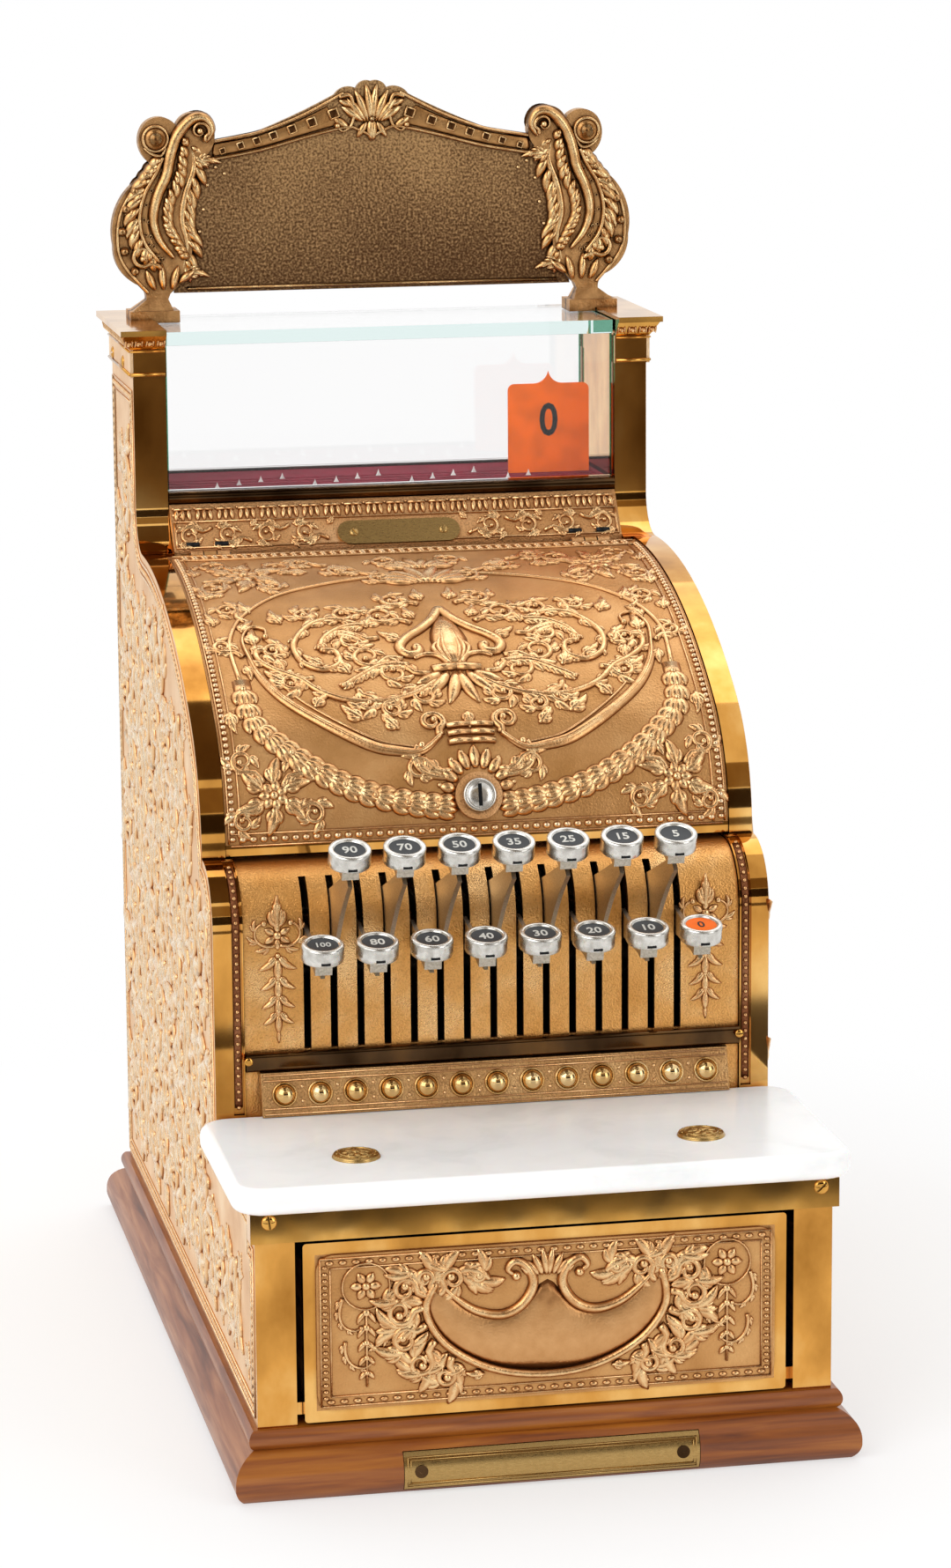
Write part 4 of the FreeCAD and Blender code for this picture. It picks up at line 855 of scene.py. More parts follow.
        # laurel bound along a path: leaves that spread from a stem, with berries between
        self.stroke(path, size * 0.55, height * 0.7, "line")
        for i in range(1, len(path) - 1):
            heading = headingAt(path, i)
            for way in (1, -1):
                self.petal(*path[i], heading + way * 50, size * 0.8, size * 0.4, height, -way * 5)
                self.petal(*path[i], heading + way * 20, size * 0.8, size * 0.36, height * 1.25, -way * 3)
            if i % 2:
                self.dome(*path[i], size * 0.16, height * 1.5, 6, 1)

    def scroll(self, path, width, height, leaves=0, outer=1, eye=1.0, leafSize=1.0, swell="vine"):
        # a curling stem with an eye at its end and leaflets along its outer side
        self.stroke(path, width, height, swell)
        if eye:
            self.dome(*path[-1], eye * width * 0.62, height * 1.15)
        for k in range(leaves):
            i = 1 + int((k + 0.3) * (len(path) - 3) / leaves)
            size = leafSize * width * (2.4 - 0.7 * k / leaves)
            along = headingAt(path, i)
            for turn, share, wide, tall, bend in ((42, 1, 0.46, 0.8, 55), (78, 0.7, 0.34, 0.7, 80)):
                shape = (size * share, size * wide, height * tall, -outer * bend / size)
                self.petal(*path[i], along + outer * turn, *shape)

    def mesh(self, name, *worn):
        bmesh.ops.recalc_face_normals(self.build, faces=self.build.faces)
        mesh = meshFrom(self.build, name, *worn)
        smoothFaces(mesh)
        return mesh

    def finish(self, name, wears="relief", body="cabinet", slot="gilt_brass"):
        addPiece(name, self.mesh(name, finishes[wears]), body)


def smoothFaces(mesh):
    mesh.polygons.foreach_set("use_smooth", [True] * len(mesh.polygons))


def onPlane(y, out=-1):
    # an upright panel facing the front (out -1) or the back (out 1)
    return lambda u, v, h: Vector((u * mm, (y + out * h) * mm, v * mm))


def onSide(x):
    # a side wall; u runs towards the back
    out = 1 if x > 0 else -1
    return lambda u, v, h: Vector(((x + out * h) * mm, u * mm, v * mm))


def startTree(name, sockets):
    # a geometry tree with the named inputs and one geometry output
    tree = bpy.data.node_groups.new(name, "GeometryNodeTree")
    for label, kind in sockets.items():
        tree.interface.new_socket(label, in_out="INPUT", socket_type="NodeSocket" + kind)
    tree.interface.new_socket("Motifs", in_out="OUTPUT", socket_type="NodeSocketGeometry")
    return tree, tree.nodes.new("NodeGroupInput").outputs


def standMotifs(tree, points, motif, along, size, finish):
    # stands the motif on every point, up along "out" and turned along, then dresses the real mesh
    out = addNode(tree, "GeometryNodeInputNamedAttribute", {"Name": "out"}, data_type="FLOAT_VECTOR")
    upward = {"Vector": out.outputs["Attribute"]}
    upright = addNode(tree, "FunctionNodeAlignRotationToVector", links=upward, axis="Z")
    onward = {"Rotation": upright.outputs[0], "Vector": along}
    turned = addNode(tree, "FunctionNodeAlignRotationToVector", links=onward, axis="X", pivot_axis="Z")
    seated = {"Points": points, "Instance": motif, "Rotation": turned.outputs[0], "Scale": size}
    placed = addNode(tree, "GeometryNodeInstanceOnPoints", links=seated)
    real = addNode(tree, "GeometryNodeRealizeInstances", links={"Geometry": placed.outputs[0]})
    worn = {"Geometry": real.outputs[0], "Material": finish}
    dressed = addNode(tree, "GeometryNodeSetMaterial", links=worn)
    addNode(tree, "NodeGroupOutput", links={"Motifs": dressed.outputs[0]})
    return tree


def runTree(name, build, tree, values):
    # the mesh that a tree makes of a build, with its inputs given by name
    thing = linkMesh(name, meshFrom(build, name))
    motifs = thing.modifiers.new("motifs", "NODES")
    motifs.node_group = tree
    for socket in tree.interface.items_tree:
        if socket.name in values:
            motifs[socket.identifier] = values[socket.name]
    return appliedMesh(thing)


def makeBeadTree():
    # beads set along a line and turned to it
    tree, given = startTree("beadRow", {
        "Lines": "Geometry", "Spacing": "Float", "Bead size": "Vector", "Finish": "Material",
    })
    curve = addNode(tree, "GeometryNodeMeshToCurve", links={"Mesh": given["Lines"]})
    steps = {"Curve": curve.outputs[0], "Length": given["Spacing"]}
    spaced = addNode(tree, "GeometryNodeResampleCurve", links=steps, mode="LENGTH")
    ball = addNode(tree, "GeometryNodeMeshUVSphere", {"Rings": 5, "Segments": 8, "Radius": 1.0})
    where = tree.nodes.new("GeometryNodeInputPosition").outputs[0]
    split = addNode(tree, "SeparateXYZ", links={"Vector": where})
    # the bead's height becomes its rise, painted as shade below and a highlight on top
    marked = addNode(
        tree, "GeometryNodeStoreNamedAttribute", {"Name": "rise"},
        {"Geometry": ball.outputs["Mesh"], "Value": split.outputs["Z"]}, data_type="FLOAT", domain="POINT",
    )
    smooth = addNode(tree, "GeometryNodeSetShadeSmooth", links={"Geometry": marked.outputs[0]})
    along = tree.nodes.new("GeometryNodeInputTangent").outputs[0]
    size, finish = given["Bead size"], given["Finish"]
    return standMotifs(tree, spaced.outputs[0], smooth.outputs[0], along, size, finish)


beadTree = makeBeadTree()


def beadRows(name, place, paths, spacing, size, wears="relief", body="cabinet", lift=0.1, mirror=False):
    # size is the bead's half length, half width and half height
    lines = bmesh.new()
    outLayer = lines.verts.layers.float_vector.new("out")
    for side in ((1, -1) if mirror else (1,)):
        for path in paths:
            closed = path[0] == path[-1]
            made = []
            for u, v in path[:-1] if closed else path:
                low, high = place(side * u, v, lift), place(side * u, v, lift + 1)
                vert = lines.verts.new(low)
                vert[outLayer] = (high - low).normalized()
                made.append(vert)
            for one, two in zip(made, made[1:] + (made[:1] if closed else [])):
                lines.edges.new((one, two))
    values = {"Spacing": spacing * mm, "Bead size": [s * mm for s in size], "Finish": finishes[wears]}
    addPiece(name, runTree(name + "Lines", lines, beadTree, values), body)


print("stage: lid ornament")

# the lid's skin in section, in millimetres: a straight foot, a lower arc and a flatter upper arc
hood = {
    "footY": -68.95, "footZ": 231.0, "springZ": 232.0, "lowerY": -5.75, "lowerRadius": 63.2,
    "upperY": 101.5, "upperZ": 85.178, "upperRadius": 245.022,
}
joinAngle = math.atan2(hood["upperZ"] - hood["springZ"], hood["upperY"] - hood["lowerY"]) + math.pi


def hoodArc(which, angle):
    # a point on one arc of the lid's section and the way out of it
    c, s = math.cos(angle), math.sin(angle)
    reach = hood[which + "Radius"]
    level = hood["springZ" if which == "lower" else "upperZ"]
    return hood[which + "Y"] + reach * c, level + reach * s, c, s


def hoodPoint(v):
    # a point on the lid's skin and the way out of it, v millimetres up from the foot
    straight = hood["springZ"] - hood["footZ"]
    if v <= straight:
        return hood["footY"], hood["footZ"] + v, -1.0, 0.0
    lowerArc = (math.pi - joinAngle) * hood["lowerRadius"]
    if v <= straight + lowerArc:
        return hoodArc("lower", math.pi - (v - straight) / hood["lowerRadius"])
    angle = joinAngle - (v - straight - lowerArc) / hood["upperRadius"]
    if angle > math.pi / 2:
        return hoodArc("upper", angle)
    over = (math.pi / 2 - angle) * hood["upperRadius"]
    return hood["upperY"] + over, hood["upperZ"] + hood["upperRadius"], 0.0, 1.0


def onLid(u, v, h):
    y, z, outY, outZ = hoodPoint(v)
    return Vector((u * mm, (y + outY * h) * mm, (z + outZ * h) * mm))


lidWork = {
    "rise": 1.35,
    "frame": {
        "half": 107.0, "insets": (1.2, 6.0), "levels": (4.2, 9.2, 202.6, 212.0),
        "across": (-105, -50, 0, 50, 105),
    },
    "ovalLine": [
        (0, 169.5), (31, 164.8), (55, 156.8), (70, 148.4), (82, 136.5), (90, 124), (94.6, 107),
        (93.5, 84),
    ],
    "scrollOval": [
        (13, 48), (22, 41), (32, 41.5), (44, 45), (61, 56.5), (76, 71), (84.5, 86), (87.5, 99),
        (88.5, 112), (84, 121), (78, 119), (78.5, 113),
    ],
    "swag": [(93, 84), (91.5, 62), (81.5, 47), (67, 34.5), (50, 25), (30, 19), (14, 16.5)],
    "inner": [
        ((12, 84), (27, 85), 7.2, -1), ((6, 80), (16, 70), 5.6, -1), ((22, 94), (37, 97), 7.0, 1),
        ((30, 110), (42, 108), 5.4, -1), ((14, 120), (26, 128), 6.6, 1),
        ((30, 132), (42, 129), 5.4, -1), ((8, 136), (19, 141), 5.2, 1), ((44, 76), (42, 67), 4.4, 1),
        ((62, 84), (72, 82), 4.8, 1), ((24, 74), (31, 63), 4.6, -1), ((52, 136), (60, 131), 4.0, 1),
        ((70, 100), (77, 103), 4.4, -1),
    ],
    "sweeps": [
        [(42, 124), (50, 125.5), (59, 121), (67, 108), (65.5, 95), (57, 89), (49.5, 93), (50, 101),
         (55.5, 102)],
        [(34, 120), (44, 119), (53, 112), (56.5, 104)],
        [(10, 79), (20, 72), (34, 68), (48, 69), (60, 75), (68, 84), (76, 89), (83, 96), (84, 103),
         (80, 104)],
        [(20, 90), (32, 90), (42, 84), (50, 78)],
    ],
    "outer": [
        ((6, 160), (19, 166), 6.0, 1), ((22, 168), (36, 177), 5.6, 1),
        ((4, 176), (15, 187), 6.0, -1), ((40, 184), (52, 189), 5.0, -1),
        ((90, 100), (97.5, 108), 4.2, 1), ((84, 126), (92, 137), 5.0, -1),
        ((72, 172), (62, 184), 6.4, 1), ((80, 180), (91, 189), 6.6, -1),
        ((84, 168), (95, 160), 6.0, 1), ((74, 164), (68, 160), 4.4, -1),
        ((82, 28), (75, 38), 4.8, -1), ((90, 30), (98, 40), 5.0, 1), ((80, 20), (70, 16), 4.8, 1),
        ((92, 20), (99, 14), 4.4, -1), ((10, 32), (24, 33), 5.0, -1),
    ],
    "lily": [
        (0.3, 131), (4.6, 122.5), (11, 115), (18, 109), (22, 102.5), (19.5, 97), (14.5, 98),
        (14.5, 102.5),
    ],
    "innerLeaves": [
        (48, 114, 200, 15), (70, 124, 60, 13), (76, 98, 250, 11), (46, 86, 60, 13),
        (64, 66, 120, 11), (74, 82, 30, 12), (44, 58, 30, 13), (30, 52, 40, 11), (20, 108, 20, 12),
        (34, 118, 100, 11), (56, 92, 30, 12), (12, 124, 60, 11), (6, 140, 70, 12), (84, 108, 80, 13),
        (88, 118, 110, 11), (82, 134, 60, 12), (90, 94, 250, 10),
    ],
    "outerLeaves": [
        (30, 178, 20, 14), (50, 176, 10, 13), (60, 192, 170, 12), (100, 176, 90, 12),
        (99, 148, 100, 14), (100, 66, -80, 13), (99, 124, 90, 12),
    ],
    "sprays": [(86, 24.5, 1.0), (79, 174, 1.15)],
    "lockLevel": 20.8,
}


def makeLidRelief():
    work = Relief(onLid, 1.35)
    high = lidWork["rise"]
    frame = lidWork["frame"]
    for gap in frame["insets"]:
        work.mirrored().stroke([(frame["half"] - gap, v) for v in range(5, 213, 4)], 0.8, 0.8, "line")
    for v in frame["levels"]:
        work.mirrored(False).stroke([(u, v) for u in frame["across"]], 0.8, 0.8, "line")
    work.mirrored()
    work.stroke(flowing(lidWork["ovalLine"]), 1.9, high * 0.75, "line")
    rim = flowing(lidWork["scrollOval"], 6)
    work.stroke(rim[:44], 4.6, high * 1.15, "reed")
    work.scroll(rim, 2.0, high * 1.5, 0, -1, 1.3)
    work.stroke([(u * 0.93, v * 0.955 + 4.4) for u, v in rim[6:40]], 1.2, high * 0.6, "reed")
    work.scroll(volute((13, 48), (16, 55), 5.2, -1), 3.4, high * 1.2, 0, 1, 0.9)
    for v in (45, 49, 53):
        work.stroke([(0, v), (5, v), (10, v - 0.6)], 2.6, high * 1.3, "line")
    # fleur-de-lis
    work.petal(0.6, 89, 90, 35, 12, high * 1.5)
    for k in range(3):
        vein = flowing([(1.2 + k, 90), (3.4 + 2.2 * k, 100), (1.4 + k, 118 - 6 * k)], 4)
        work.stroke(vein, 2.2, high * (1.7 - 0.2 * k), "reed")
    work.stroke(flowing(lidWork["lily"], 4), 4.2, high * 1.4, "line")
    work.dome(14.8, 101.5, 2.4, high * 1.6)
    work.stroke(flowing([(2.2, 89), (6, 95), (12, 96.5), (17, 94)], 4), 3.2, high * 1.2, "vine")
    work.stroke([(0, 87.6), (4.5, 87.3), (10.5, 86.2)], 4.2, high * 1.5, "line")
    for k in range(3):
        work.petal(1.0 + 3.2 * k, 84, -84 + 24 * k, 20 - 3.5 * k, 5.2, high * 1.2, 1.0)
    work.leaf(0.2, 60, -90, 9, high * 1.1, 2, 0, 0.5)
    work.winding(lidWork["inner"], 2.8, high, 6, 1.35)
    for points in lidWork["sweeps"]:
        work.scroll(flowing(points, 4), 2.7, high * 1.15, 8, -1, 0.9, 1.25, "line")
        work.frond(flowing(points, 4), 4.6, 2.2, high * 0.8, 1, 5)
    work.winding(lidWork["outer"], 2.6, high * 0.9, 5, 1.3)
    work.leaves(lidWork["innerLeaves"], high * 1.05, 3, 2, 0.55)
    # swag, corner sprays and the spray at the top
    work.garland(flowing(lidWork["swag"], 3), 12.0, high * 1.25)
    for u, v, reach in lidWork["sprays"]:
        work.flower(u, v, 6.6 * reach, high * 1.2, 7)
        for heading in range(30, 390, 60):
            foot = polar(u, v, 4.5 * reach, math.radians(heading))
            work.leaf(*foot, heading, 13 * reach, high * 1.1, 3, 2, 0.66)
    for k in range(4):
        for v, length, width, rise in ((158, 22 - 3 * k, 6.0, 1.2), (176, 16 - 2 * k, 5.0, 1.1)):
            work.petal(0.6 + 1.8 * k, v, 84 - 22 * k, length, width, high * rise, -1.2)
    work.leaves(lidWork["outerLeaves"], high * 0.9, 3, -2, 0.45)
    # palmette over the lock
    middle = lidWork["lockLevel"]
    for k in range(7):
        heading = 90 - 19 * k
        u, v = 9.6 * math.cos(math.radians(heading)), middle + 11.6 * math.sin(math.radians(heading))
        if v > middle + 2.2:
            work.petal(u, v, heading, 10.5 - 0.9 * k, 4.4, high * 1.2)
            work.dome(u * 1.7, middle + (v - middle) * 1.7, 1.3, high, 6, 1)
    work.scroll(curl((12, 29), 0, 26, 1, 12), 2.8, high, 4, 1, 1.1, 1.3)
    work.finish("lidRelief", body="lid")


makeLidRelief()
lidBorder = [[(104.2, 7.0 + 2 * k) for k in range(99)]]
lidEnds = [[(u, v) for u in range(-100, 101, 20)] for v in (6.7, 205.2, 209.0)]
beadRows("lidSideBeads", onLid, lidBorder, 3.1, (1.25, 1.5, 1.2), "wall", "lid", mirror=True)
beadRows("lidEndBeads", onLid, lidEnds, 4.4, (1.8, 1.5, 1.2), "wall", "lid")

print("stage: frieze, drawer and key plate ornament")

friezeWork = {
    "foot": (108.9, 331.8), "head": (123.9, 350.3),  # the slope's ends in y and z
    "across": (-101.5, -50, 0, 50, 101.5), "upright": (1, 5, 9, 14),
    "levels": (1.0, 14.4), "middle": 7.4, "beadLevel": 21.4,
    "tilePitch": 9.7, "tileLevel": 20.6, "slots": (81.0, 94.0), "slotLevel": 2.6,
}


def onFrieze(u, s, h):
    foot, head = friezeWork["foot"], friezeWork["head"]
    size = math.dist(foot, head)
    alongY, alongZ = (head[0] - foot[0]) / size, (head[1] - foot[1]) / size
    y, z = foot[0] + alongY * s - alongZ * h, foot[1] + alongZ * s + alongY * h
    return Vector((u * mm, y * mm, z * mm))


friezeOut = (onFrieze(0, 0, 1) - onFrieze(0, 0, 0)).normalized()


def makeFriezeRelief():
    work = Relief(onFrieze, 1.25)
    middle = friezeWork["middle"]
    for s in friezeWork["levels"]:
        work.mirrored(False).stroke([(u, s) for u in friezeWork["across"]], 0.9, 0.8, "line")
    work.mirrored().stroke([(101, s) for s in friezeWork["upright"]], 1.2, 0.8, "line")
    # running scrolls either side of the plate, turned up and down by turns
    for k in range(4):
        u = 32 + 17.5 * k
        up = 1 if k % 2 == 0 else -1
        work.winding([((u, middle - up * 4), (u + 10, middle + up * 0.6), 4.6, up)], 1.9, 1.2, 5, 1.3)
        work.leaf(u + 5, middle - up * 4.4, -up * 10, 9, 1.1, 3, up * 3, 0.45)
        work.leaf(u + 16, middle + up * 4.4, up * 170, 8, 1.0, 3, 2, 0.45)
        work.leaf(u, middle + up * 3.6, up * 130, 6, 1.0, 2, 0, 0.45)
    work.flower(99, 18.2, 2.8, 0.9, 5)
    work.finish("friezeRelief")


makeFriezeRelief()
friezeLine = [(u, friezeWork["beadLevel"]) for u in range(-101, 102, 20)]
beadRows("friezeBeads", onFrieze, [friezeLine], 2.4, (0.8, 0.8, 0.8))

drawerWork = {
    "face": -201.2, "rise": 1.7, "candelabra": 73.5,
    "spirals": [
        (((83, 80), -70, 20, -1, -14), 4, 1), (((82, 62), -80, 20, -3, -13), 4, 1),
        (((66, 70), -110, 18, 4, 14), 3, -1),
    ],
    "field": {"half": 92.6, "low": 34.8, "high": 97.4, "insets": (0.8, 4.8)},
    "crescentLow": [
        (-45.5, 84), (-49.6, 72.7), (-41.7, 58.4), (-24.3, 47.4), (-2.7, 43.2), (19.1, 45.6),
        (38.1, 55.3), (48.2, 69.5), (46.5, 84),
    ],
    "crescentHigh": [
        (-43.5, 85), (-37.5, 77.3), (-29, 71.3), (-18.7, 69.1), (-10, 73), (0, 84), (10, 73),
        (18.7, 69.1), (29, 71.3), (37.5, 77.3), (44.5, 85),
    ],
    "inner": [
        (44, 84), (37.5, 77.3), (29, 71.3), (18.7, 69.1), (10.6, 72.7), (5.9, 80.6), (8, 87.6),
        (13.2, 90.8), (16.2, 87.5), (12.9, 84.7),
    ],
    "horns": [
        ((44, 79), (38.5, 85), 4.6, 1), ((46, 80), (50, 86), 3.6, -1), ((49, 79), (58, 82), 5.0, -1),
        ((50, 74), (60, 73), 5.4, 1), ((49.5, 67), (58, 61), 5.0, -1), ((46, 60), (52, 51), 5.0, 1),
        ((39, 53), (42, 45), 4.0, 1), ((33, 86), (28, 86.5), 2.6, -1),
    ],
    "leaves": [
        (34, 89, 185, 11), (40, 89, 5, 9), (54, 89, -24, 11), (60, 78, -20, 11), (60, 66, 20, 12),
        (58, 56, -10, 12), (50, 47, -16, 10), (42, 50, -34, 9), (34, 48, -30, 8), (26, 45, -8, 7),
        (54, 68, -60, 11),
    ],
}


def makeDrawerRelief():
    work = Relief(onPlane(drawerWork["face"]), 1.2)
    high = drawerWork["rise"]
    low = flowing(drawerWork["crescentLow"])
    work.mirrored(False).cushion(low, flowing(drawerWork["crescentHigh"], 4), high * 1.1, (0, 73.5, 8.5))
    work.stroke(low, 3.4, high * 1.5, "line")
    # S-scrolls that rise from the crescent's inner edge to a palmette
    work.mirrored().scroll(flowing(drawerWork["inner"]), 4.0, high * 1.5, 0, 1, 0.9, 1.0, "reed")
    for k in range(4):
        work.petal(0.6 + 1.6 * k, 84.5, 88 - 17 * k, 11 - 1.4 * k, 3.6, high * 1.2, -1.2)
    work.leaf(0.3, 62, 90, 8, high * 0.7, 2)
    # heavy acanthus at the horns
    work.winding(drawerWork["horns"], 3.6, high * 1.15, 5, 1.35)
    sprigs = [(u, v, heading, size * 1.15) for u, v, heading, size in drawerWork["leaves"]]
    work.leaves(sprigs, high * 1.2, 3, 3, 0.66)
    # candelabra
    stem = drawerWork["candelabra"]
    work.ring(stem, 84.5, 9.6, 1.1, high * 0.7)
    work.flower(stem, 84.5, 6.2, high, 6)
    for k in range(5):
        work.dome(stem, 73.5 - 6.2 * k, 1.9 - 0.15 * k, high * 0.9)
        for heading, bend in ((215, 6), (-35, -6)):
            work.petal(stem, 74 - 6.2 * k, heading, 6.5 - 0.5 * k, 2.4, high * 0.8, bend)
    work.stroke([(stem, 75), (stem, 60), (stem, 43)], 1.1, high * 0.7, "line")
    for spiral, count, way in drawerWork["spirals"]:
        work.scroll(curl(*spiral), 1.8, high * 0.8, count, way, 1.0)
    field = drawerWork["field"]
    for gap in field["insets"]:
        work.border(field["half"] - gap, field["low"] + gap, field["high"] - gap, 0.8, 0.7)
    work.finish("drawerRelief", body="drawer")


makeDrawerRelief()
face = onPlane(drawerWork["face"])
dentils = [[(u, v) for u in range(-88, 89, 11)] for v in (37.4, 94.8)]
beadRows("drawerDentils", face, dentils, 5.3, (1.9, 1.1, 0.9), body="drawer")
posts = [[(90.0, v) for v in range(39, 94, 6)]]
beadRows("drawerBeads", face, posts, 2.7, (0.9, 1.3, 0.9), body="drawer", mirror=True)


plateDrop = {"face": -96.5, "middle": 90.5, "husks": (193, 184.5, 176.5, 169.5)}


def makePlateDrops():
    # husk drops at both ends of the keyboard plate
    work = Relief(onPlane(plateDrop["face"])).mirrored()
    middle = plateDrop["middle"]
    work.flower(middle, 203, 6.0, 1.2, 6, 30)
    work.leaf(middle, 205, 90, 15, 1.3, 3, 0, 0.5)
    for way, heading in ((1, -20), (-1, 200)):
        work.scroll(curl((middle + way, 199), heading, 18, 7 * way, 15 * way), 2.0, 1.1, 3, -way, 1.1, 1.3)
    for k, v in enumerate(plateDrop["husks"]):
        size = 9.0 - 0.5 * k
        work.petal(middle, v, -90, size * 1.1, size * 0.5, 1.2)
        for way in (1, -1):
            tilts = -90 + way * 34, -90 + way * 68
            work.petal(middle + way * 0.6, v + 0.6, tilts[0], size, size * 0.42, 1.1, way * 5)
            work.petal(middle + way * 0.8, v + 1.0, tilts[1], size * 0.72, size * 0.36, 0.9, -way * 14)
        work.dome(middle, v + 1.6, 1.3, 1.3)
    work.petal(middle, 162.5, -90, 5, 2.2, 1.0)
    work.finish("plateDrops")


makePlateDrops()

print("stage: scattered ornament")


def makeScatterTree():
    # one motif on every point, turned along "along" and sized by "size"
    tree, given = startTree("motifScatter", {"Points": "Geometry", "Motif": "Object", "Finish": "Material"})
    motif = addNode(tree, "GeometryNodeObjectInfo", {"As Instance": True}, {"Object": given["Motif"]})
    along = addNode(tree, "GeometryNodeInputNamedAttribute", {"Name": "along"}, data_type="FLOAT_VECTOR")
    size = addNode(tree, "GeometryNodeInputNamedAttribute", {"Name": "size"}, data_type="FLOAT")
    return standMotifs(
        tree, given["Points"], motif.outputs["Geometry"], along.outputs["Attribute"],
        size.outputs["Attribute"], given["Finish"],
    )


scatterTree = makeScatterTree()


def scatter(name, motif, spots, wears="relief"):
    # spots are (place, out, along, size) in metres
    points = bmesh.new()
    outLayer = points.verts.layers.float_vector.new("out")
    alongLayer = points.verts.layers.float_vector.new("along")
    sizeLayer = points.verts.layers.float.new("size")
    for place, out, along, size in spots:
        vert = points.verts.new(place)
        vert[outLayer], vert[alongLayer], vert[sizeLayer] = out, along, size
    mesh = runTree(name + "Points", points, scatterTree, {"Motif": motif, "Finish": finishes[wears]})
    return addPiece(name, mesh, "cabinet")


def flatMotif(name, draw):
    # a motif drawn on its own flat ground about the origin, to be scattered and then dropped
    work = Relief(lambda u, v, h: Vector((u * mm, v * mm, h * mm)), 1.15)
    draw(work)
    return linkMesh(name, work.mesh(name))


def drawTile(work):
    # one leafed dentil, hanging from its upper edge
    for k in (-1, 0, 1):
        work.petal(2.5 * k, 0, -90 + 7 * k, 5.6, 2.5, 1.5)
    work.stroke([(-3.9, 0.1), (0, 0.2), (3.9, 0.1)], 1.5, 1.3, "line")


def makeFriezeTiles():
    tile = flatMotif("tile", drawTile)
    places = [onFrieze(friezeWork["tilePitch"] * k, friezeWork["tileLevel"], 0) for k in range(-10, 11)]
    spots = [(place, friezeOut, Vector((1, 0, 0)), 1.0) for place in places]
    scatter("friezeTiles", tile, spots)
    bpy.data.objects.remove(tile)
    # the two open slots at each end where the lid's hinge straps pass, drawn as black bars: painted shade
    # inside the openings
    work = Relief(onFrieze).mirrored()
    level = friezeWork["slotLevel"]
    for u in friezeWork["slots"]:
        work.bar((u - 3, level), (u + 3, level), 3.0, 1.3)
    work.finish("hingeSlots", "black", slot="black_iron")


makeFriezeTiles()


def drawRinceau(hand):
    # one curl of the wall's running foliage, about 32 mm across
    def draw(work):
        path = volute((-16, -9 * hand), (1, 0), 11.5, hand, 1.3)
        work.scroll(path, 3.6, 1.5, 7, -hand, 0, 1.7)
        work.flower(*path[-1], 5.4, 2.0, 5)
        for u, v, heading, length, height, bend in (
            (4, -12, -20, 15, 1.6, -2), (-12, 4, 110, 14, 1.6, 3), (12, 6, 60, 11, 1.5, -3),
        ):
            work.leaf(u, v * hand, heading * hand, length, height, 3, bend * hand, 0.6)
    return draw


sideWork = {
    "wall": 117.5, "cell": 35.0, "rows": 14, "columns": 15, "start": (-196, 34), "seed": 7,
    "insets": (23.0, 13.0, 6.5),  # of the curls, the sprays and the beads
    "filletInsets": (3.6, 9.2),
    "shoulder": (-72.5, 205, 25.5), "cove": (106.5, 349, 18), "lidLength": 218.3, "lidEdge": 0.8,
    "bead": (1.5, 1.3, 1.0), "beadPitch": 3.6,
}


def sideOutline():
    # the wall's outline in y and z: drawer end, shelf step, shoulder, lid curve, cove and window pillar
    line = [(-200, 28), (-200, 105), (-194, 105), (-194, 117), (-98, 117), (-98, 205)]
    line += [polar(*sideWork["shoulder"], math.radians(180 - 15 * k)) for k in range(1, 7)]
    for k in range(1, 25):
        y, z, outY, outZ = hoodPoint(sideWork["lidLength"] * k / 24)
        line.append((y + sideWork["lidEdge"] * outY, z + sideWork["lidEdge"] * outZ))
    line += [polar(*sideWork["cove"], math.radians(270 + 18 * k)) for k in range(1, 6)]
    return line + [(124.5, 405), (200, 405), (200, 28)]


def inset(line, distance):
    # the same closed line moved inwards; it runs clockwise
    moved = []
    for i, here in enumerate(line):
        before, after = line[i - 1], line[(i + 1) % len(line)]
        one = Vector((here[0] - before[0], here[1] - before[1])).normalized()
        two = Vector((after[0] - here[0], after[1] - here[1])).normalized()
        normal = (Vector((one.y, -one.x)) + Vector((two.y, -two.x))).normalized()
        reach = distance / max(normal.dot(Vector((one.y, -one.x))), 0.5)
        moved.append((here[0] + normal.x * reach, here[1] + normal.y * reach))
    return moved


def inside(line, y, z):
    crossed = False
    for (y0, z0), (y1, z1) in zip(line, line[1:] + line[:1]):
        if (z0 > z) != (z1 > z) and y < (y1 - y0) * (z - z0) / (z1 - z0) + y0:
            crossed = not crossed
    return crossed


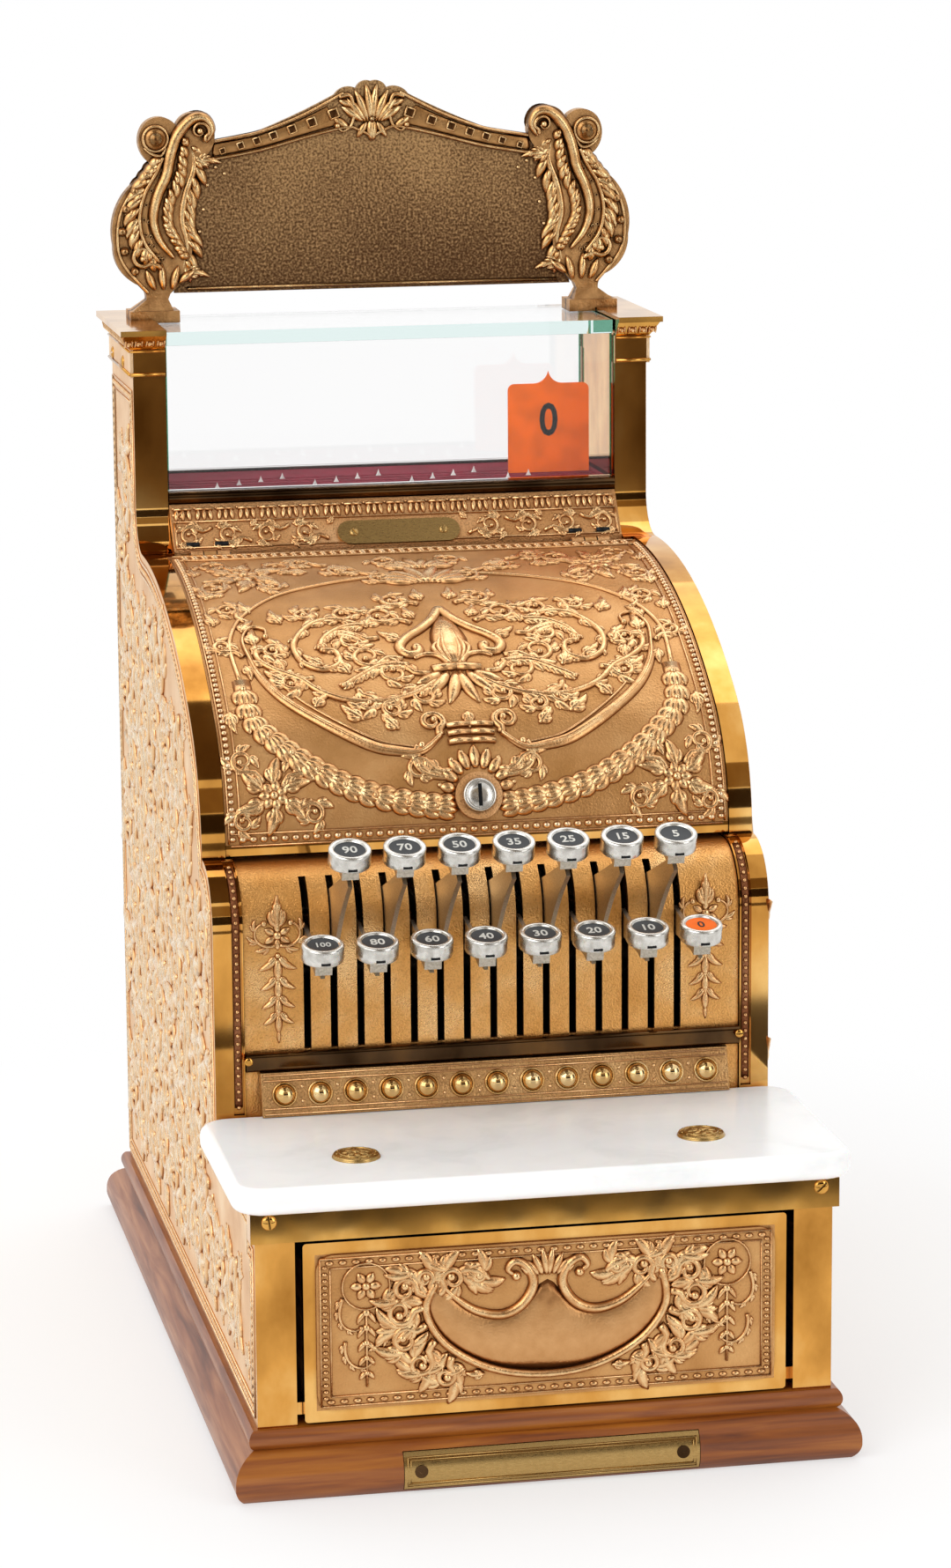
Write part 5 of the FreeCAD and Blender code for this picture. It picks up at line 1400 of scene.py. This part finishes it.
def makeSides():
    outline = sideOutline()
    curlField, sprayField, border = (inset(outline, distance) for distance in sideWork["insets"])
    seeds = random.Random(sideWork["seed"])
    cell, (startY, startZ) = sideWork["cell"], sideWork["start"]
    spots = {1: [], -1: []}
    fillers = []
    for row in range(sideWork["rows"]):
        for column in range(sideWork["columns"]):
            y = startY + cell * (column + 0.5 * (row % 2))
            z = startZ + cell * 0.92 * row
            hand = 1 if (row + column) % 2 else -1
            turn = math.radians(90 * ((row * 2 + column) % 4) + seeds.uniform(-14, 14))
            if inside(curlField, y, z):
                spots[hand].append((y, z, turn, seeds.uniform(1.12, 1.24)))
            filler = (y + cell / 2, z + cell * 0.46, seeds.uniform(0, 6.28), 0.72)
            if inside(sprayField, *filler[:2]):
                fillers.append(filler)
    curls = {hand: flatMotif(f"rinceau{hand + 1}", drawRinceau(hand)) for hand in (1, -1)}
    spray = flatMotif("spray", lambda work: [work.leaf(0, 0, 72 * k, 12, 1.1, 3, 3) for k in range(5)])
    for wall, name in ((1, "Right"), (-1, "Left")):
        put = onSide(sideWork["wall"] * wall)

        def seats(places, put=put, wall=wall):
            return [
                (put(y, z, 0), Vector((wall, 0, 0)), Vector((0, math.cos(turn), math.sin(turn))), size)
                for y, z, turn, size in places
            ]

        for hand in (1, -1):
            scatter(f"wallCurls{name}{hand + 1}", curls[hand], seats(spots[hand]), "wall")
        scatter(f"wallSprays{name}", spray, seats(fillers), "wall")
        line = [border + border[:1]]
        beadRows(f"wallBeads{name}", put, line, sideWork["beadPitch"], sideWork["bead"], "wall")
        edge = Relief(put)
        for distance in sideWork["filletInsets"]:
            line = inset(outline, distance)
            edge.stroke(line + line[:1], 1.0, 0.8, "line")
        edge.finish(f"wallFillets{name}", "wall")
    for motif in (*curls.values(), spray):
        bpy.data.objects.remove(motif)


makeSides()

backWork = {
    "half": 96, "low": 44, "high": 300, "middle": 172,
    "stems": [
        ((12, 18), (34, 34), 13, 1), ((40, 14), (64, 20), 12, -1), ((20, 46), (24, 70), 12, -1),
        ((46, 50), (66, 64), 12, 1), ((2, 60), (40, 98), 12, 1),
    ],
    "leaves": [(0.2, 22, 90, 34, 1.6), (0.2, 60, 90, 40, 1.6), (74, 88, 80, 24, 1.4)],
}


def makeBack():
    # a plainer panel of the same foliage, mirrored about its rosette
    put = onPlane(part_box("back_cover")[1].y / mm, 1)
    half, low, high, middle = (backWork[name] for name in ("half", "low", "high", "middle"))
    rear = [(-half, low), (-half, high), (half, high), (half, low), (-half, low)]
    beadRows("backBeads", put, [rear], sideWork["beadPitch"], sideWork["bead"])
    work = Relief(put)
    for grow in (3, -3):
        frame = [(x + math.copysign(grow, x), z + (grow if z > middle else -grow)) for x, z in rear]
        work.stroke(frame, 1.0, 0.8, "line")
    work.mirrored()
    work.flower(0, middle, 14, 1.6, 8)
    work.ring(0, middle, 19, 1.6, 1.2)
    for way in (1, -1):
        work.winding([
            ((u, middle + v * way), (centreU, middle + centreV * way), radius, hand * way)
            for (u, v), (centreU, centreV), radius, hand in backWork["stems"]
        ], 3.6, 1.6, 9, 1.5)
        for u, v, heading, length, height in backWork["leaves"]:
            work.leaf(u, middle + v * way, heading * way, length, height, 4, 0, 0.45)
    work.leaf(24, middle, 0, 30, 1.4, 4)
    work.finish("backRelief")


makeBack()

print("stage: sign")

signWork = {
    "faces": {"Front": (170.5, 168.5, -1), "Back": (173.5, 175.5, 1)},  # field, bracket, the way out
    "foot": 442.4, "footHalf": 86,
    "pits": [
        (68.8, 504.3, 1.1), (60.5, 506.5, 1.3), (53, 508.4, 1.4), (45.4, 510.7, 1.5),
        (36.8, 513.4, 1.6), (27.7, 516.3, 1.7), (17.6, 520, 1.8),
    ],
    "innerLine": [
        (75, 500.3), (52, 504.2), (29.2, 510.1), (12, 513.8), (6.3, 512.6), (0, 509.5),
    ],
    "outerLine": [(74, 508.3), (60, 510.6), (50, 512.8), (34, 518.6), (20, 525.4), (13, 529.2)],
    "peakScroll": [(15, 527.5), (10, 528), (8.2, 522), (9.4, 515), (13.5, 512), (16, 514.5)],
    "peakPetals": [
        (10.5, 513.5, 30, 9, 4.6, 1.8, 1), (15, 526, 200, 8, 4.2, 1.8, 1),
        (0.6, 517, -90, 9.5, 5.0, 2.2), (2.2, 516, -56, 8.5, 4.2, 2.0),
    ],
    "lap": [(84, 508), (82, 498), (86, 486), (88, 474), (86, 462), (89, 448)],
    "lapLeaves": [(82, 500, 170, 13), (88, 450, 176, 13)],
    "knobs": [(72, 497), (68, 494), (76, 489), (78, 478), (80, 468)],
}


def makeSignRelief(y, out, name):
    work = Relief(onPlane(y, out)).mirrored()
    inner, outer = flowing(signWork["innerLine"]), flowing(signWork["outerLine"])
    work.cushion([(u, v + 0.6) for u, v in inner[:16]], [(u, v - 0.6) for u, v in outer[:21]], 0.7)
    work.stroke(inner, 1.9, 1.9, "line")
    work.stroke(outer, 1.7, 1.7, "line")
    foot, footHalf = signWork["foot"], signWork["footHalf"]
    work.bar((-footHalf, foot), (footHalf, foot), 2.0, 1.2)
    for u, v, size in signWork["pits"]:
        work.pit(u, v, size * 1.35, 1.7, -20, 0.85)
    # shell and leaf cartouche at the peak, held between two scrolls
    for k in range(4):
        work.petal(0.6 + 1.2 * k, 516.5, 90 - 17 * k, 16.5 - 1.6 * k, 5.2, 2.4, -0.8)
    work.scroll(flowing(signWork["peakScroll"]), 2.6, 2.4, 0, 1, 1.0)
    for petal in signWork["peakPetals"]:
        work.petal(*petal)
    work.dome(0, 517.4, 1.7, 3.0)
    # leafage that laps from the brackets on to the field
    lap = flowing(signWork["lap"])
    work.stroke(lap, 5.0, 3.0, "reed")
    work.frond(lap, 13.0, 5.4, 2.6, -1, 2)
    work.frond(lap, 8.0, 3.6, 3.4, -1, 3)
    work.leaves(signWork["lapLeaves"], 3.0, 3, 2, 0.6)
    for u, v in signWork["knobs"]:
        work.dome(u, v, 1.1, 1.0, 6, 1)
    work.finish(name, "signRelief")


bracketWork = {
    "rib": [
        (76.6, 508.5), (73.9, 514), (77, 519.2), (83, 518.8), (89.5, 512), (93, 503), (95, 494),
        (99.3, 484.5), (101.2, 474), (98.4, 464.5), (92, 456.5),
    ],
    "edge": [(96.5, 502), (99.5, 495.5), (105, 486), (107.6, 475), (105.6, 464), (99, 455)],
    "rim": [
        (104, 441), (108.6, 446), (115, 454), (117.6, 463), (116.4, 476), (110.6, 487),
        (101.8, 496.5),
    ],
    "knobs": [(104, 494), (109.5, 487), (113.5, 479), (115.5, 469), (114.5, 460), (110, 451)],
    "inner": [
        (87, 512), (89, 503), (91, 494), (95.5, 484), (97, 474), (94, 465), (89, 457),
    ],
    "foot": [
        (93, 442.5, 100, 11), (97, 442.5, 80, 12), (101, 442.5, 62, 10), (90, 445.5, 140, 9),
    ],
    "eye": (79.4, 513.6), "rosette": (99.6, 510.4),
}


def makeBracketRelief(y, out, name):
    # a smooth scroll over a punched hollow, acanthus down the outer edge and a second volute behind
    work = Relief(onPlane(y, out)).mirrored()
    rib, edge, shoulder, rim = (flowing(bracketWork[line]) for line in ("rib", "edge", "inner", "rim"))
    work.cushion(edge[2:24], [(u - 4.6, v - 0.5) for u, v in edge[2:24]], 0.5)
    for k in range(9):
        t = (k + 0.5) / 9
        u, v = edge[int(t * (len(edge) - 1))]
        for gap in (2.2, 4.4):
            work.pit(u - gap, v - 0.4 * gap, 0.8, 1.1, 20 * k, 0.6)
    work.stroke(rib, 6.4, 3.4, "reed")
    work.stroke(volute((77, 509), bracketWork["eye"], 4.4, -1, 1.0), 2.6, 3.6, "vine")
    work.dome(*bracketWork["eye"], 2.0, 3.8)
    work.stroke(edge, 2.6, 2.6, "line")
    work.dome(*bracketWork["rosette"], 5.8, 3.0, 16, 4, 0.4)
    work.ring(*bracketWork["rosette"], 5.6, 2.0, 2.2)
    work.stroke(flowing([(94.5, 507), (97, 503), (101, 503.5), (105, 506.5)], 4), 2.2, 2.4, "reed")
    work.stroke(rim, 1.8, 1.4, "line")
    work.frond(edge, 11.5, 6.0, 2.4, 1, 2)
    work.frond(edge, 7.0, 4.0, 3.2, 1, 3)
    for u, v in bracketWork["knobs"]:
        work.dome(u, v, 2.3, 2.8, 10, 3, 0.3)
    work.scroll(volute((98, 452), (106.5, 458), 5.0, 1, 1.0), 3.4, 2.6, 0, 1, 0.9)
    for petal in bracketWork["foot"]:
        work.petal(*petal, 4.6, 2.4, 1)
    work.frond(shoulder, 9.5, 5.0, 2.6, -1, 2)
    work.frond(shoulder, 5.5, 3.4, 3.4, -1, 3)
    work.finish(name, "signRelief")


for make, index, name in ((makeSignRelief, 0, "signRelief"), (makeBracketRelief, 1, "bracketRelief")):
    for side, face in signWork["faces"].items():
        make(face[index], face[2], name + side)

print("stage: keys")

keyWork = {
    "count": 15, "pitch": 11.2, "middle": 8, "radius": 8.78, "height": 7.1, "lip": 6.6, "dial": 0.8,
    "size": 7.0, "longSize": 5.2, "squeeze": 0.88,
    "lower": {"y": -138.0, "z": 209.0, "tilt": 13.0, "numerals": "100 80 60 40 30 20 10 0"},
    "upper": {"y": -140.0, "z": 248.0, "tilt": 18.0, "numerals": "90 70 50 35 25 15 5"},
}


def keyRow(number):
    # odd keys are in the lower row; the row, the key's numeral and its place across
    row = keyWork["lower" if number % 2 else "upper"]
    text = row["numerals"].split()[(number - 1) // 2]
    return row, text, keyWork["pitch"] * (number - keyWork["middle"])


def numeralMesh(text, work):
    # raised figures, set narrower where there are three
    data = bpy.data.curves.new("numeral", "FONT")
    data.body = text
    data.size = work["size" if len(text) < 3 else "longSize"] * mm
    data.extrude = 0.06 * mm
    data.offset = 0.018 * data.size
    data.resolution_u = 3
    data.align_x, data.align_y = "CENTER", "CENTER"
    mesh = appliedMesh(linkMesh("numeral", data))
    mesh.transform(Matrix.Diagonal((work["squeeze"], 1, 1, 1)))
    return mesh


def frameAt(place, right, up):
    right, up = Vector(right), Vector(up)
    turn = Matrix((right, up, right.cross(up))).transposed().to_4x4()
    return Matrix.Translation(Vector(place) * mm) @ turn


def joinInto(build, mesh, matrix, slotIndex):
    # adds a mesh to a growing piece under one of its finishes
    mesh.transform(matrix)
    first = len(build.faces)
    build.from_mesh(mesh)
    build.faces.ensure_lookup_table()
    for face in build.faces[first:]:
        face.material_index = slotIndex
    bpy.data.meshes.remove(mesh)


def lathe(build, profile, matrix, around=40):
    # profile rows are (radius, height) and a finish index; a zero radius closes a pole
    rings = []
    for radius, height, _ in profile:
        spots = [polar(0, 0, radius * mm, angle) for angle in (turnsOf(around) if radius else [0])]
        rings.append([build.verts.new(matrix @ Vector((*spot, height * mm))) for spot in spots])
    for one, two, (_, _, index) in zip(rings, rings[1:], profile[1:]):
        for k in range(around):
            after = (k + 1) % around
            if len(one) == 1:
                corners = (one[0], two[after], two[k])
            elif len(two) == 1:
                corners = (one[k], one[after], two[0])
            else:
                corners = (one[k], one[after], two[after], two[k])
            face = build.faces.new(corners)
            face.material_index = index
            face.smooth = True


def block(build, base, top, matrix, index):
    # a small block between two four-cornered faces
    low, high = ([build.verts.new(matrix @ (Vector(c) * mm)) for c in corners] for corners in (base, top))
    faces = [low[::-1], high] + [(low[k], low[(k + 1) % 4], high[(k + 1) % 4], high[k]) for k in range(4)]
    for corners in faces:
        build.faces.new(corners).material_index = index


def makeKeyCap(number):
    row, text, x = keyRow(number)
    tilt = math.radians(row["tilt"])
    turn = frameAt((x, row["y"], row["z"]), (1, 0, 0), (0, math.cos(tilt), math.sin(tilt)))
    build = bmesh.new()
    r, h, lip, dial = keyWork["radius"], keyWork["height"], keyWork["lip"], keyWork["dial"]
    lathe(build, [
        (0, -h, 0), (r - 1.4, -h, 0), (r - 0.45, -h + 0.1, 0), (r - 0.05, -h + 0.6, 0),
        (r - 0.16, -h + 2.6, 0), (r - 0.1, -1.9, 0), (r, -1.1, 0), (r - 0.1, -0.4, 0),
        (r - 0.6, 0.05, 0), (lip + 0.5, 0.1, 0), (lip, -0.15, 0), (lip - 0.2, -dial + 0.03, 0),
        (lip - 0.35, -dial, 1), (0, -dial + 0.02, 1),
    ], turn)
    # the small slot low on the front of the skirt, a black block painted as the shade inside it
    dash, ends = (
        [(1.9 * side, y, -h + level) for side, level in ((-1, 1.1), (1, 1.1), (1, 2.0), (-1, 2.0))]
        for y in (-r - 0.02, -r + 0.68)
    )
    block(build, ends, dash, turn, 2)
    joinInto(build, numeralMesh(text, keyWork), turn @ Matrix.Translation((0, 0, (-dial + 0.05) * mm)), 3)
    bmesh.ops.recalc_face_normals(build, faces=build.faces)
    last = number == keyWork["count"]
    worn = ("nickel", "orange" if last else "dial", "black", "black" if last else "numeral")
    name = f"keyCap{number:02d}"
    mesh = meshFrom(build, name, *(finishes[finish] for finish in worn))
    addPiece(name, mesh, body_of(nodes[f"key_{number:02d}"])[0])


for number in range(1, keyWork["count"] + 1):
    makeKeyCap(number)

print("stage: flags")

flagWork = {
    "middleY": 152.0, "layers": 4, "layerGap": 8.0, "face": 0.62, "underTip": 23.1,
    "size": 21.0, "longSize": 17.0, "squeeze": 0.86,
}


def makeFlagNumeral(number):
    # the same figures on both faces of a flag
    text, x = keyRow(number)[1:]
    layer = (number - 1) % flagWork["layers"] - (flagWork["layers"] - 1) / 2
    y = flagWork["middleY"] + layer * flagWork["layerGap"]
    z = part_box(f"flag_{number:02d}")[1].z / mm - flagWork["underTip"]
    build = bmesh.new()
    for way in (-1, 1):
        matrix = frameAt((x, y + way * flagWork["face"], z), (-way, 0, 0), (0, 0, 1))
        joinInto(build, numeralMesh(text, flagWork), matrix, 0)
    name = f"flagNumeral{number:02d}"
    mesh = meshFrom(build, name, finishes["black"])
    addPiece(name, mesh, body_of(nodes[f"flag_{number:02d}"])[0])


for number in range(1, keyWork["count"] + 1):
    makeFlagNumeral(number)

print("stage: screws, rosettes and plates")

screwWork = {"radius": 2.85, "rise": 1.15, "flatRadius": 2.7, "flatRise": 0.16, "foot": 0.12, "steps": 5}


def slottedHead(radius, rise):
    # an oval screw head about the origin with a driver slot across it
    foot, steps = screwWork["foot"], screwWork["steps"]
    profile = [(0, -0.3, 0), (radius, -0.3, 0), (radius, foot, 0)]
    for k in range(1, steps):
        angle = math.pi / 2 * k / steps
        profile.append((radius * math.cos(angle), foot + (rise - foot) * math.sin(angle), 0))
    build = bmesh.new()
    lathe(build, profile + [(0, rise, 0)], Matrix.Identity(4), 24)
    bmesh.ops.recalc_face_normals(build, faces=build.faces)
    head = linkMesh("screwHead", meshFrom(build, "screwHead"))
    build = bmesh.new()
    shape = Matrix.Diagonal((3 * radius * mm, radius * 0.3 * mm, rise * 1.1 * mm, 1))
    bmesh.ops.create_cube(build, size=1, matrix=Matrix.Translation((0, 0, rise * mm)) @ shape)
    blade = linkMesh("screwSlot", meshFrom(build, "screwSlot"))
    cut = head.modifiers.new("slot", "BOOLEAN")
    cut.object, cut.operation, cut.solver = blade, "DIFFERENCE", "EXACT"
    solid = appliedMesh(head)
    bpy.data.objects.remove(blade)
    return linkMesh("slottedHead", solid)


# (place, out, size) of the screws that the part's fasteners stand for
screwPlaces = []
for side in (1, -1):
    screwPlaces.append(((112.0 * side, -203.0, 113.6), (0, -1, 0), 1.06))
for side in (1, -1):
    screwPlaces += [((118.8 * side, y, 412.5), (side, 0, 0), 1.0) for y in (148.5, 186.0)]
for side in (1, -1):
    screwPlaces.append(((104.0 * side, -101.9, 151.5), (0, -1, 0), 0.62))
for side in (1, -1):
    screwPlaces += [((107.0 * side, 203.0, z), (0, 1, 0), 1.1) for z in (40.0, 189.15, 338.3)]
ovalPlateScrews = [(20.5, 0.9), (-20.5, 2.2)]  # place across and turn of the slot
plinthPlateScrews = [(53.5, 0.7), (-53.5, 2.5)]


def slotAcross(out, across, swing):
    # the way a slot lies, turned from across about the screw
    return across * math.cos(swing) + out.cross(across) * math.sin(swing)


def makeScrews():
    head = slottedHead(screwWork["radius"], screwWork["rise"])
    flat = slottedHead(screwWork["flatRadius"], screwWork["flatRise"])
    turns = random.Random(3)
    spots = []
    for place, out, size in screwPlaces:
        out = Vector(out)
        swing = turns.uniform(0, math.pi)
        level = Vector((0, 0, 1)).cross(out)
        along = level * math.cos(swing) + Vector((0, 0, math.sin(swing)))
        spots.append((Vector(place) * mm, out, along, size))
    screws = scatter("screwHeads", head, spots, "brass")
    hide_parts("fasteners")
    across = Vector((1, 0, 0))
    spots = [
        (onFrieze(x, 5.7, 1.0), friezeOut, slotAcross(friezeOut, across, swing), 0.72)
        for x, swing in ovalPlateScrews
    ]
    scatter("ovalPlateScrews", head, spots, "agedBrass")
    # countersunk ones, flush with the plinth's plate
    out = Vector((0, -1, 0))
    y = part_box("plinth")[0].y
    spots = [
        (Vector((x * mm, y, 9 * mm)), out, slotAcross(out, across, swing), 1.0)
        for x, swing in plinthPlateScrews
    ]
    # in the brass painted dark as a reflection
    scatter("plinthPlateScrews", flat, spots, "darkReflection")
    for motif in (head, flat):
        bpy.data.objects.remove(motif)


makeScrews()

rosetteWork = {"x": 71, "y": -168, "z": 128, "beads": 12, "beadRing": 7.9}


def makeRosettes():
    # embossed brass caps over the marble's bolts
    for side, name in ((1, "Right"), (-1, "Left")):
        def put(u, v, h, side=side):
            x, y, z = rosetteWork["x"] * side + u, rosetteWork["y"] + v, rosetteWork["z"] + h
            return Vector((x * mm, y * mm, z * mm))

        def lifted(u, v, h, put=put):
            # on the crown of the dome
            return put(u, v, h + 1.35 + 0.5 * (1 - (u * u + v * v) / 80))

        work = Relief(put)
        work.dome(0, 0, 10, 2.2, 28, 5)
        work.ring(0, 0, 9.0, 1.4, 1.5)
        work.place = lifted
        work.ring(0, 0, 6.8, 0.8, 0.6)
        work.flower(0, 0, 5.8, 0.9, 8)
        for angle in turnsOf(rosetteWork["beads"]):
            work.dome(*polar(0, 0, rosetteWork["beadRing"], angle), 0.55, 0.5, 6, 1)
        work.finish("rosette" + name, "agedBrass", slot="polished_brass")


makeRosettes()

stripWork = {
    "count": 13, "pitch": 14.9, "middle": (0.0, -102.7, 137.05), "out": (0.0, -17.5, 5.0),
    "half": 8.0, "reach": 98, "groove": 2.2, "dotLevel": 3,
}


def drawStud(work):
    work.dome(0, 0, 4.3, 3.9, 20, 6)
    work.ring(0, 0, 4.8, 1.2, 0.8, 20)


def makeStuds():
    # bright domes in turned collars, and the strip's fillets and tooled dots
    out, across = Vector(stripWork["out"]).normalized(), Vector((1, 0, 0))
    up = across.cross(-out)
    middle = Vector(stripWork["middle"]) * mm

    def put(u, v, h):
        return middle + across * u * mm + up * v * mm + out * h * mm

    stud = flatMotif("stud", drawStud)
    count, pitch = stripWork["count"], stripWork["pitch"]
    spots = [(put(pitch * (k - (count - 1) / 2), 0, 0), out, across, 1.0) for k in range(count)]
    scatter("studs", stud, spots, "stud")
    bpy.data.objects.remove(stud)
    work = Relief(put)
    half, reach, groove = stripWork["half"], stripWork["reach"], stripWork["groove"]
    for v in (half, half - groove, groove - half, -half):
        work.bar((-reach, v), (reach, v), 0.9, 0.6)
    for k in range(count - 1):
        for way in (-1, 1):
            work.dome(pitch * (k - count / 2 + 1), way * stripWork["dotLevel"], 0.9, 0.5, 6, 1)
    work.finish("stripFillets")


makeStuds()

capital = {
    "front": 123.2, "side": 118.8, "foot": 420.5,
    "flareY": -5.7, "flareX": 3.7, "rise": 6.5, "eggLevel": 3.9,
    "sideEggs": [126 + 4.9 * k for k in range(15)],
    "frontEggs": [u * way for u in (105, 110, 115, 119.4) for way in (1, -1)],
    "mouldings": [(419.6, 1.2), (409.3, 1.8)],  # level and width
    "across": (103.2, 111, 118.6), "along": (124, 160, 199),
}


def onFlare(side):
    # the flared face under the cap, towards the front (side 0) or a side (1 or -1); v runs up the slope
    run = capital["flareX"] if side else -capital["flareY"]
    length = math.hypot(run, capital["rise"])
    ahead, up = run / length, capital["rise"] / length

    def put(u, v, h):
        reach, z = ahead * v + up * h, capital["foot"] + up * v - ahead * h
        if side:
            return Vector((side * (capital["side"] + reach) * mm, u * mm, z * mm))
        return Vector((u * mm, (capital["front"] - reach) * mm, z * mm))
    return put


def drawEgg(work):
    # an egg between two small leaves
    work.dome(0, 0, 1.5, 1.4)
    for way in (-1, 1):
        work.petal(1.5 * way, 1.8, -90 - 10 * way, 4.2, 1.5, 1.0, 8 * way)


def makePillarTrim():
    # leafed eggs round the flare of each capital and mouldings round its block
    egg = flatMotif("egg", drawEgg)
    spots = []
    for side in (0, 1, -1):
        put = onFlare(side)
        out = (put(0, 0, 1) - put(0, 0, 0)).normalized()
        along = Vector((0, -side, 0)) if side else Vector((1, 0, 0))
        seats = capital["sideEggs" if side else "frontEggs"]
        spots += [(put(u, capital["eggLevel"], 0), out, along, 1.0) for u in seats]
    scatter("capitalEggs", egg, spots)
    bpy.data.objects.remove(egg)
    work = Relief(onPlane(capital["front"])).mirrored()
    for z, wide in capital["mouldings"]:
        work.stroke([(u, z) for u in capital["across"]], wide, 0.9, "line")
    work.mirrored(False)
    for side in (1, -1):
        work.place = onSide(capital["side"] * side)
        for z, wide in capital["mouldings"]:
            work.stroke([(u, z) for u in capital["along"]], wide, 0.9, "line")
    work.finish("capitalLines", "brass", slot="polished_brass")


makePillarTrim()

keyboard = {
    "front": -96.9, "turnY": -72.5, "turnZ": 205.0, "radius": 24.4,
    "bandX": 107.75, "foot": 131.0, "length": 105,
}


def onBand(u, v, h):
    # the sunk band beside the keys: upright, then over the shoulder
    turnY, turnZ, radius = keyboard["turnY"], keyboard["turnZ"], keyboard["radius"]
    if v <= turnZ:
        return Vector((u * mm, (keyboard["front"] - h) * mm, v * mm))
    angle = min((v - turnZ) / radius, math.pi / 2)
    y, z = turnY - (radius + h) * math.cos(angle), turnZ + (radius + h) * math.sin(angle)
    return Vector((u * mm, y * mm, z * mm))


def makeBands():
    line = [(keyboard["bandX"], keyboard["foot"] + v) for v in range(0, keyboard["length"] + 1, 3)]
    work = Relief(onBand).mirrored()
    work.stroke(line, 4.0, 0.35, "line")
    work.finish("bandGround", "band")
    beadRows("bandBeads", onBand, [line], 3.3, (0.95, 1.0, 0.8), lift=0.35, mirror=True)


makeBands()

plug = {"place": (0, -66.789, 251.241), "out": (0, -0.95374, 0.30063), "proud": 4.2, "slit": (0.8, 4.7)}


def makePlugFace():
    # the plug's turned nickel face with a black block painted as the shade in its key slit
    out = Vector(plug["out"])
    turn = frameAt(Vector(plug["place"]) + out * plug["proud"], (1, 0, 0), (0, out.z, -out.y))
    build = bmesh.new()
    lathe(build, [
        (0, -0.5, 0), (6.9, -0.5, 0), (7.05, 0.05, 0), (6.6, 0.4, 0), (5.7, 0.45, 0), (5.4, 0.2, 0),
        (5.1, 0.45, 0), (2.5, 0.62, 0), (0, 0.66, 0),
    ], turn)
    x, y = plug["slit"]
    base, top = ([(-x, -y, z), (x, -y, z), (x, y, z), (-x, y, z)] for z in (0.1, 0.7))
    block(build, base, top, turn, 1)
    bmesh.ops.recalc_face_normals(build, faces=build.faces)
    mesh = meshFrom(build, "plugFace", finishes["nickel"], finishes["black"])
    addPiece("plugFace", mesh, "lock_plug")


makePlugFace()

plinthPlate = {"half": 60.3, "low": 1.5, "high": 16.5, "proud": 0.22, "insets": (1.4, 2.6)}


def makePlateBorder():
    # an engraved double line round the plinth's plate
    work = Relief(onPlane(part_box("plinth")[0].y / mm + plinthPlate["proud"]))
    half, low, high = plinthPlate["half"], plinthPlate["low"], plinthPlate["high"]
    for gap in plinthPlate["insets"]:
        work.border(half - gap, low + gap, high - gap, 0.6, 0.3)
    work.finish("plateBorder", "agedBrass", slot="polished_brass")


makePlateBorder()
